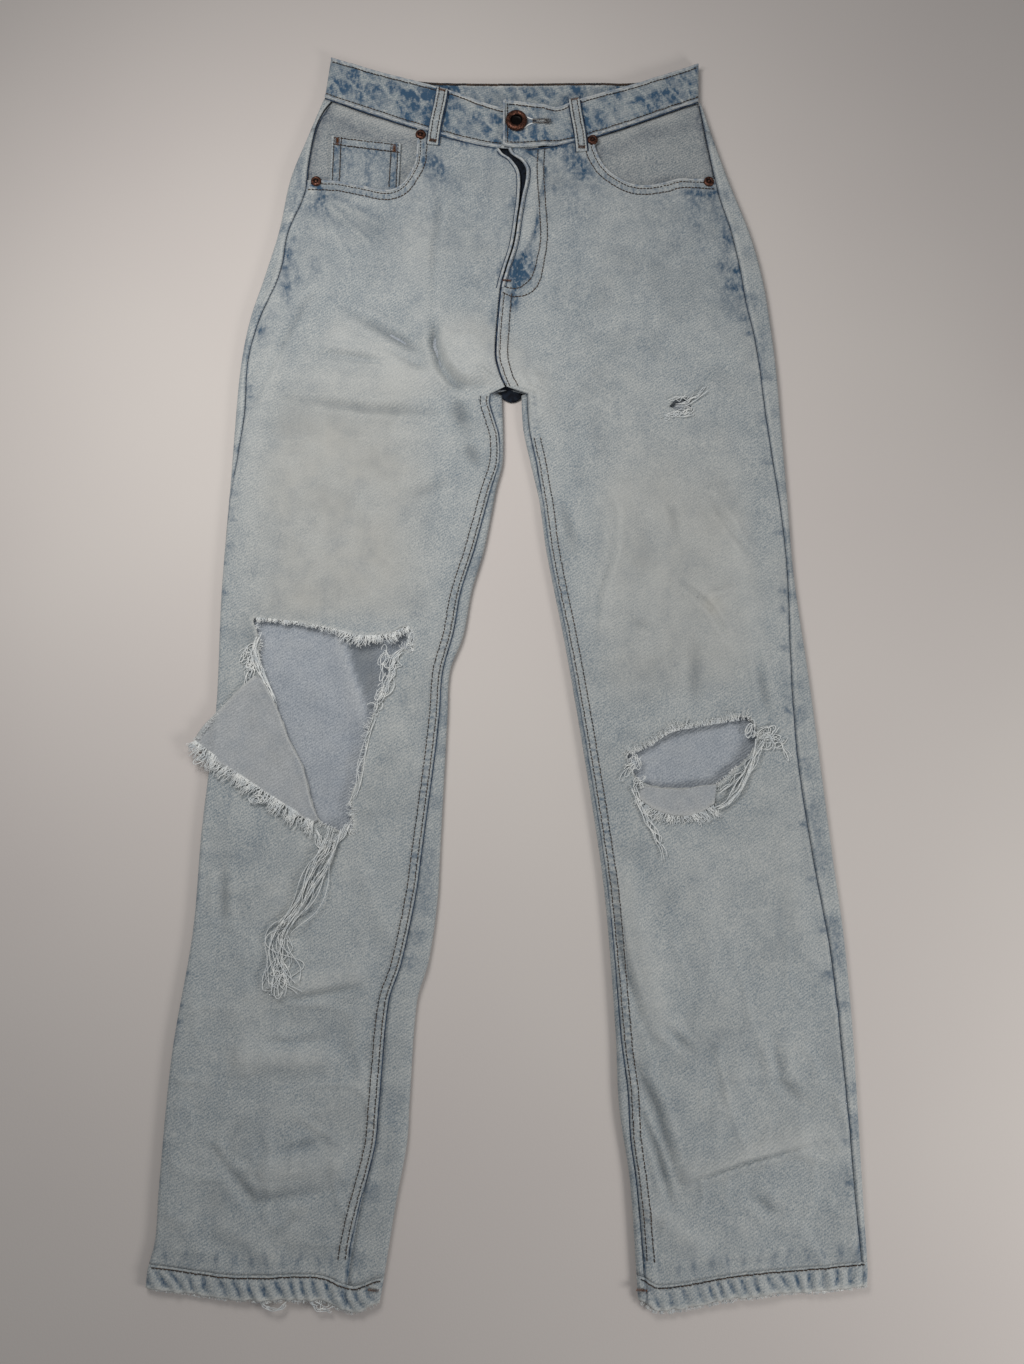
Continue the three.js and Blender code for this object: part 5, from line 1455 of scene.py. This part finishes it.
makeJoined("frayFlap", [
    bristles(right, [(-265, -93), (-247, -106), (-230, -119)], -1, 110, (5, 12), 137, 1.4, 0.42),
    bristles(right, [(-230, -119), (-196, -141), (-163, -161)], -1, 180, (6, 12), 140, 1.9, 0.44),
    bristles(right, [(-238, -58), (-265, -93)], -1, 16, (1.5, 3), 143, 1.4),
    tangle(right, (-258, -104), (9, 5), 4, 146, 0.6), tangle(right, (-208, -142), (10, 5), 6, 149, 1.6),
], yarnMaterial, replaces=["fringe_flap"])
makeJoined("frayTassel", [
    strands(right, [(-143, -163), (-150, -185), (-160, -206), (-170, -226), (-182, -243), (-189, -256)],
            26, [8, 7, 6, 5, 4, 4], 152, 0.8, 0.38, 40, (0.6, 1.6), 2.6),
    strands(right, [(-170, -226), (-186, -248), (-190, -262), (-188, -282), (-184, -303)],
            20, [4, 5, 8, 11, 12], 155, 0.5, 0.38, 36, (0.6, 2.0), 1.8),
    tangle(right, (-188, -284), (9, 14), 9, 158, 0.8),
    strands(right, [(-133, -160), (-140, -172), (-154, -178), (-160, -166)], 10, [3, 4, 4, 3], 161, 1.0),
    bristles(right, [(-131, -150), (-131, -167), (-145, -166), (-158, -160)], 1, 30, (2, 6), 164, 0.5),
], yarnMaterial, replaces=["yarn_bundle"])
makeJoined("frayLeftKneeTop", [
    bristles(left, [(101, -103), (119, -96), (138, -84), (161, -79), (184, -75), (205, -72)],
             1, 170, (3, 6.5), 167, 0.5),
    bristles(left, [(119, -96), (138, -84), (161, -79), (184, -75)], -1, 30, (1, 2.5), 170, 0.2),
    tangle(left, (106, -112), (6, 11), 9, 173, 0.9), tangle(left, (112, -128), (5, 6), 6, 176, 0.9),
], yarnMaterial, replaces=["fringe_knee_left_top"])
makeJoined("frayLeftKneeBottom", [
    bristles(left, [(109, -141), (124, -151), (142, -156), (160, -154), (176, -146)],
             -1, 170, (5, 9), 179, 1.2),
    strands(left, [(105, -129), (113, -148), (124, -170), (129, -184)], 4, [3, 3, 3, 4], 182, 0.9, 0.42),
    strands(left, [(112, -146), (125, -172), (131, -184), (135, -197)], 3, [2, 2, 2, 2], 185, 0.7, 0.45),
], yarnMaterial, replaces=["fringe_knee_left_bottom"])
makeJoined("frayLeftKneeSide", [
    strands(left, [(172, -150), (186, -143), (200, -122), (210, -101), (216, -88)],
            14, [2, 2.2, 2.2, 2.2, 3], 188, 0.9, 0.42, 36, (0.8, 2.0), 2.0),
    strands(left, [(178, -137), (196, -124), (212, -100)], 5, [3, 3, 3], 191, 0.6),
    tangle(left, (222, -90), (10, 10), 14, 194, 0.8), tangle(left, (206, -86), (6, 8), 6, 197, 0.8),
    strands(left, [(214, -84), (228, -90), (236, -100), (239, -112)], 3, [2, 3, 2, 2], 200, 0.6),
    bristles(left, [(205, -72), (213, -88), (208, -101), (186, -121), (176, -129)], 1, 40, (2, 5), 203),
], yarnMaterial, replaces=["fringe_knee_left_side"])
makeJoined("fraySlit", [
    strands(left, [(147, 205), (156, 206), (166, 212), (178, 222)], 5, [1.5, 2, 2, 2], 206, 0.5, 0.36),
    strands(left, [(142, 210), (152, 212), (162, 214)], 3, [1.5, 1.5, 1.5], 209, 0.4, 0.36),
    tangle(left, (152, 196), (11, 4), 9, 212, 0.2, 0.34), tangle(left, (160, 200), (6, 5), 5, 215, 0.2, 0.34),
], yarnMaterial)
makeJoined("frayHems", [
    strands(right, [(-197, -533), (-190, -541), (-178, -541), (-172, -534)],
            5, [2, 2, 2, 2], 218, -3.0, 0.35),
    strands(right, [(-156, -534), (-148, -542), (-136, -540)], 5, [3, 3, 3], 221, -3.0, 0.35),
    bristles(right, [(-284, -527), (-217, -535), (-149, -536), (-122, -544), (-103, -538)],
             -1, 330, (0.6, 2.2), 224, -2.6, 0.3),
    bristles(left, [(105, -537), (122, -544), (187, -534), (250, -529), (285, -525)],
             -1, 360, (0.6, 2.0), 227, -2.6, 0.3),
], yarnMaterial)
print("torn cloth turned out and frayed")

stitchLook = {"pitch": 3.1, "radius": 0.5}


def bandLine(edge, start, end, offset, left, lift=0.25):
    # A line on the band's front, a set distance above its seam or below its edge
    x = np.linspace(start, end, int(abs(end - start)) + 1)
    base = edge(x)
    y = base + offset
    z = bandTop(x, y, left) + lift
    return np.column_stack([x, y, z])


# The fly's curved stitching, in two rows
flyRows = [
    [(34, 454), (33, 429), (35, 393), (36, 365), (33, 342), (28, 321), (18, 311), (5, 308), (-3, 311)],
    [(28, 455), (27, 429), (29, 393), (30, 365), (27, 346), (22, 328), (14, 319), (4, 316), (-3, 318)],
]
inseamStart = {"right": 214, "left": 176}


def tabLine(at, x, inset, count, lift):
    # A line down the end of the tab, as long as the band is high there less an inset at both ends
    y = np.linspace(frontSeam(at) + inset, frontEdgeLeft(at) - inset, count)
    return np.column_stack([np.full(count, x), y, bandTop(np.full(count, x), y, True) + lift])


def mouthRow(name, offset, fromWaist, fromSide, lift):
    # A line beside a pocket's mouth, ended a distance before the waist seam and the side seam
    half = halves[name]
    line = smoothLine(shifted(mouthLines[name], half["inward"] * offset), 1)
    keep = line[:, 1] < frontSeam(line[:, 0]) - fromWaist
    keep &= np.abs(line[:, 0]) < np.abs(half["outer"](line[:, 1])) - half["outseam"](line[:, 1]) - fromSide
    return onTop(line[keep], lift)


def centreRow(edge, offset, first, last, lift):
    # A line down the centre front, beside one of its edges
    y = np.arange(float(first), last, -1)
    return onTop(np.column_stack([edge(y) + offset, y]), lift)


def inseamLine(half, offset, first, last=-504):
    # A flat line on the front, an offset in from the inseam
    y = np.arange(float(first), last, -1.5)
    x = half["inner"](y) - half["inward"] * (half["inseam"](y) + offset)
    return np.column_stack([x, y])


def outseamLine(half, offset, first, last):
    # The same from the side seam
    y = np.arange(float(first), last, -1.5)
    return np.column_stack([half["outer"](y) + half["inward"] * (half["outseam"](y) + offset), y])


def coinLine(s0, t0, s1, t1):
    # A straight line across the coin pocket, in fractions of its width and depth
    low, high, highRight, lowRight = [np.array(corner, float) for corner in coinPocket]
    ends = [mix(mix(high, highRight, s), mix(low, lowRight, s), t) for s, t in ((s0, t0), (s1, t1))]
    flat = smoothLine(ends, 1)
    return np.column_stack([flat, facingTop(flat[:, 0], flat[:, 1]) + 2.35])


def hemLine(name):
    # The row that holds the hem up, from fold to fold
    half = halves[name]
    inset, row = half["inward"] * 3, -508.8
    x = np.linspace(half["outer"](-507.0) + inset, half["inner"](-507.0) - inset, 190)
    y = row + rowShift(x, row, 0.0)
    return np.column_stack([x, y, topHeight(half, x, y) + 0.2])


def sewing():
    # All the rows of brown topstitching, as flat lines on the fronts or lines in space
    rows = []
    for name, half in halves.items():
        rows += [mouthRow(name, offset, 2, 3, 0.05) for offset in (3.4, 9.2)]
        for offset in surface["stitches"]:
            rows.append(onTop(inseamLine(half, offset, inseamStart[name]), 0.05))
        rows.append(hemLine(name))
    rows += [onTop(smoothLine(row), 0.1) for row in flyRows]
    rows += [centreRow(centreLeft, offset, 311, 222, 0.05) for offset in (3.2, 10.2)]
    rows.append(bandLine(frontEdgeRight, -163, -6, -3.4, False))
    rows.append(bandLine(frontEdgeLeft, 1, 175, -3.4, True))
    rows.append(bandLine(frontSeam, -168, -6, 4.8, False))
    rows.append(bandLine(frontSeam, 2, 175, 4.8, True))
    rows.append(tabLine(0.0, -0.2, 4, 36, 0.25))
    for s in (0.04, 0.14, 0.86, 0.96):
        rows.append(coinLine(s, 0.02, s, 0.8))
    for t in (0.04, 0.17):
        rows.append(coinLine(0.03, t, 0.97, t))
    for line in frontLoops.values():
        centre = smoothLine(line, 1.2)
        for offset in (-2.7, 2.7):
            rows.append(atHeight(shifted(centre, offset)[2:-3], frontLoopLook["level"] + 0.05))
    return rows


def topstitching():
    # All the rows, and a coarser one along the top of the band's back
    look = stitchLook
    parts = [stitchRow(line, look["pitch"], look["radius"], seed=300 + k) for k, line in enumerate(sewing())]
    x = np.linspace(-86, 128, 215)
    behind = atHeight(np.column_stack([x, backEdge(x) - 1.6]), 4.6)
    parts.append(stitchRow(behind, 2.4, 1.1, 0.9, seed=350))
    makeJoined("topstitching", parts, brownThread)


def bartack(a, b, width, z):
    # A dense zigzag between two ends
    a, b = np.array(a, float), np.array(b, float)
    count = max(4, int(np.linalg.norm(b - a) / 0.55))
    t = np.linspace(0, 1, 2 * count)
    side = np.array([-(b - a)[1], (b - a)[0]]) / np.linalg.norm(b - a) * width / 2
    flat = a + (b - a) * t[:, None] + side * np.where(np.arange(2 * count) % 2, 1, -1)[:, None]
    return tubes(atHeight(flat, z)[None], 0.4)


def bartacks():
    # At the ends of the front loops, the foot of the fly, the top of the coin pocket and the inseams' hems
    parts = [bartack((-71.5, 460), (-65.5, 458.5), 3.2, 10.1), bartack((65, 453), (71, 452.5), 3.2, 10.1),
             bartack((-64, 511), (-57.5, 509.5), 2.2, 9.8), bartack((58.5, 500.5), (65, 501.5), 2.2, 9.6),
             bartack((-4, 323.5), (3, 323), 1.8, 8.6)]
    for s in (0.09, 0.91):
        spot = coinLine(s, 0.04, s, 0.17)
        parts.append(bartack(spot[0, :2], spot[-1, :2], 3.6, spot[0, 2]))
    parts += [bartack((x - 5, -526), (x + 3, -527), 2.0, 8.2) for x in (-104.5, 107.5)]
    makeJoined("bartacks", parts, rustThread)


def buttonhole():
    # Keyhole buttonhole: two pale cords that close to a brown bar
    level = bandLook["top"] + bandLook["tabRaise"] + 0.75
    cords = []
    for side in (1, -1):
        flat = smoothLine([(15, 477 + 6 * side), (21, 477.5 + 2.6 * side), (27, 477.5 + 1.2 * side),
                           (34, 477.5 + 1.1 * side)], 1)
        cords.append(tubes(atHeight(flat, level)[None], 0.7, 0.6))
    makeJoined("buttonholeCords", cords, yarnMaterial)
    bar = [bartack((23, 478.8), (38, 479.2), 1.8, level + 0.5),
           bartack((23, 476.2), (38, 475.8), 1.8, level + 0.5),
           bartack((35, 477.4), (39.5, 477.6), 3.4, level + 0.6)]
    makeJoined("buttonholeBar", bar, brownThread)


def welt(line, width, height):
    # A rounded ridge of cloth along a line
    return tubes(line[None], width / 2, height / 2, sides=6)


def welts():
    # Pale worn ridges along the folded edges
    parts = [
        welt(bandLine(frontEdgeRight, -164, 26, -0.9, False, -0.2), 2.0, 2.4),
        welt(bandLine(frontEdgeLeft, -3, 177, -0.9, True, -0.2), 2.0, 2.4),
        welt(bandLine(frontSeam, -169, -6, 1.6, False, 0.0), 1.9, 1.2),
        welt(bandLine(frontSeam, -3, 176, 1.6, True, 0.0), 1.9, 1.2),
    ]
    parts.append(welt(tabLine(-4.0, -3.2, 1, 40, 0.0), 2.4, 2.4))
    parts += [welt(mouthRow(name, 1.1, 1, 1, 0.0), 2.0, 1.2) for name in halves]
    parts.append(welt(centreRow(centreLeft, 1.5, 452, 316, 0.25), 2.6, 2.2))
    parts.append(welt(centreRow(centreRight, -1.3, 452, 316, 0.0), 1.8, 1.6))
    parts.append(welt(centreRow(centreLeft, 1.3, 316, 223, 0.1), 1.6, 1.0))
    makeJoined("wornWelts", parts, weltDenim)


def seamShadows():
    # Dark lines in the grooves of the seams: indigo that the wash never reached, drawn dark also as painted
    # shade
    parts = []
    for name, half in halves.items():
        seam = onTop(outseamLine(half, 0.3, 496, 130 if name == "right" else -500), -0.15)
        parts.append(tubes(seam[None], 0.28 + 0.14 * cloud(seam[:, 0], seam[:, 1], 30, 24)[None]))
        parts.append(tubes(onTop(inseamLine(half, 0.3, inseamStart[name]), -0.1)[None], 0.55))
        parts.append(tubes(onTop(inseamLine(half, 10.2, inseamStart[name]), -0.25)[None], 0.3))
    # dark lines along both sides of each front loop: painted shadow
    for line in frontLoops.values():
        for offset, thick in ((5.5, 0.6), (-5.7, 0.9)):
            edge = atHeight(shifted(smoothLine(line, 1.2), offset), 8.6)
            parts.append(tubes(edge[None], thick, 0.5))
    # a dark line under the band's lower edge: painted seam shadow
    for left, start, end in ((False, -169, -8), (True, 1, 176)):
        seam = bandLine(frontSeam, start, end, -0.6, left, 0.0)
        seam[:, 2] = 7.75
        parts.append(tubes(seam[None], 0.6, 0.45))
    parts.append(tubes(centreRow(centreLeft, 3.9, 450, 316, 0.2)[None], 0.5))
    parts.append(tubes(centreRow(centreRight, -3.4, 450, 316, 0.1)[None], 0.5))
    parts.append(tubes(centreRow(centreLeft, -0.2, 330, 224, 0.0)[None], 0.6))
    makeJoined("unfadedAndShadedSeamLines", parts, indigoAndShadeLines)


topstitching()
bartacks()
buttonhole()
welts()
seamShadows()
print("stitched")

metalLook = {
    "button": {"place": (8, 477), "seat": 10.7, "around": 56,
               "profile": [(0, -2.9), (2.1, -2.9), (2.1, 0), (8, 0), (9.6, 1), (10, 2.2), (9.5, 3.7),
                           (8.2, 4.7), (6.9, 4.75), (5.8, 4.1), (5.0, 3.0), (4.6, 1.5), (0, 1.3)]},
    "rivet": {"around": 32,
              "profile": [(0, 0), (4.5, 0), (4.55, 0.7), (4.0, 1.4), (3.0, 1.7), (2.2, 1.5), (1.6, 1.0),
                          (0.9, 1.15), (0, 1.3)]},
    "rivets": {"rivet_right_front": (-80, 466), "rivet_right_side": (-175, 420),
               "rivet_left_front": (78, 460), "rivet_left_side": (184, 420)},
}


def lathe(profile, around, place, seat, fineness=3):
    # A profile of (radius, height) points, rounded a little, carried round a vertical axis
    t = np.linspace(0, 1, (len(profile) - 1) * fineness + 1)
    r, z = through(profile)(t).T
    r = np.clip(r, 0.02, None)
    angle = np.arange(around) * 2 * math.pi / around
    points = np.stack([place[0] + r[:, None] * np.cos(angle), place[1] + r[:, None] * np.sin(angle),
                       np.broadcast_to(seat + z[:, None], (len(t), around))], axis=-1)
    faces = gridFaces(len(t), around, looped=True, flipped=True)
    half = around // 2
    fan = np.arange(half - 1)
    cap = np.stack([fan, fan + 1, around - 2 - fan, around - 1 - fan], axis=1)
    last = cap + (len(t) - 1) * around
    return points.reshape(-1, 3), np.concatenate([faces, cap[:, ::-1], last])


look = metalLook["button"]
points, faces = lathe(look["profile"], look["around"], look["place"], look["seat"])
fromAxis = np.hypot(points[:, 0] - look["place"][0], points[:, 1] - look["place"][1])
# the hollow top of the button is painted dark as shade
hollow = (points[:, 2] > look["seat"] + 0.5) * (1 - ease(fromAxis, 4.9, 6.2))
makePiece("waistButton", points, faces, [copper], {"tarnish": hollow}, replaces=["button"])
look = metalLook["rivet"]
for name, place in metalLook["rivets"].items():
    side = halves["right" if place[0] < 0 else "left"]
    # it sits on the highest of three points round it
    under = topHeight(side, place[0] + np.array([-3.0, 0, 3]), place[1] + np.array([0.0, 3, -3]))
    seat = float(np.max(under)) + 0.1
    points, faces = lathe(look["profile"], look["around"], place, seat)
    fromAxis = np.hypot(points[:, 0] - place[0], points[:, 1] - place[1])
    hollow = 0.9 * (1 - ease(np.abs(fromAxis - 1.6), 0.3, 1.0))
    makePiece(name.replace("rivet_", "pocketRivet_"), points, faces, [copper], {"tarnish": hollow},
              replaces=[name])
print("button and rivets set")

cameraSetup = {"aim": (4, -41.5, 6), "distance": 875, "tilt": 7.7, "lens": 27, "sensor": 36}
lightSetup = {
    "sky": 0.22,
    "panels": [
        # place, size, watts and colour
        ((-280, 315, 640), (420, 320), 3.5, "#fffcf9"),
        ((865, -560, 615), (420, 320), 4.55, "#fffcf9"),
    ],
}


def addCamera():
    # Above the middle, leaning back a little from the hems
    tilt = math.radians(cameraSetup["tilt"])
    aim = np.array(cameraSetup["aim"])
    place = aim + cameraSetup["distance"] * np.array([0, -math.sin(tilt), math.cos(tilt)])
    data = bpy.data.cameras.new("camera")
    data.lens = cameraSetup["lens"]
    data.sensor_width = cameraSetup["sensor"]
    data.clip_start = 0.01
    camera = bpy.data.objects.new("camera", data)
    camera.location = place * mm
    camera.rotation_euler = (tilt, 0, 0)
    bpy.context.scene.collection.objects.link(camera)
    bpy.context.scene.camera = camera


def addLights():
    # An even pale sky, and two soft panels aimed at the middle
    world = bpy.data.worlds.new("studio")
    world.use_nodes = True
    background = world.node_tree.nodes["Background"]
    background.inputs["Color"].default_value = linear("#eef1f5")
    background.inputs["Strength"].default_value = lightSetup["sky"]
    bpy.context.scene.world = world
    for number, (place, size, watts, colour) in enumerate(lightSetup["panels"]):
        data = bpy.data.lights.new(f"softPanel{number}", "AREA")
        data.shape = "RECTANGLE"
        data.size, data.size_y = size[0] * mm, size[1] * mm
        data.energy = watts
        data.color = linear(colour)[:3]
        panel = bpy.data.objects.new(f"softPanel{number}", data)
        panel.location = np.array(place) * mm
        direction = -np.array(place, float)
        panel.rotation_euler = (
            math.atan2(math.hypot(direction[0], direction[1]), -direction[2]), 0,
            math.atan2(direction[0], -direction[1]) + math.pi)
        bpy.context.scene.collection.objects.link(panel)


floorLook = {"tone": "#cfc8c4", "other": "#d3cdc8", "side": 3.0, "level": -0.0004}


def addFloor():
    # Matt board: nearly even pale grey, with a faint tooth
    material, tree, shader = newMaterial("mattMountBoard")
    place = addNode(tree, "TexCoord")
    noise = addNode(tree, "TexNoise", {"Vector": (place, "Object"), "Scale": 3.0, "Detail": 2.0})
    tooth = addNode(tree, "TexNoise", {"Vector": (place, "Object"), "Scale": 700.0, "Detail": 2.0})
    tone = addNode(tree, "MapRange", {"Value": (noise, "Fac"), "From Min": 0.3, "From Max": 0.7})
    colour = addNode(tree, "Mix", {0: (tone, 0), 6: linear(floorLook["tone"]), 7: linear(floorLook["other"])},
                     data_type="RGBA")
    bump = addNode(tree, "Bump", {"Height": (tooth, "Fac"), "Strength": 0.2, "Distance": 0.0003})
    dress(tree, shader, colour, bump, {"Roughness": 0.9, "Specular IOR Level": 0.2})
    mesh = bpy.data.meshes.new("floor")
    side, level = floorLook["side"], floorLook["level"]
    corners = [(-side, -side, level), (side, -side, level), (side, side, level), (-side, side, level)]
    mesh.from_pydata(corners, [], [(0, 1, 2, 3)])
    mesh.materials.append(material)
    floor = bpy.data.objects.new("floor", mesh)
    bpy.context.scene.collection.objects.link(floor)


addCamera()
addLights()
addFloor()
bpy.context.scene.view_settings.view_transform = "Standard"
print("camera, light and floor set")
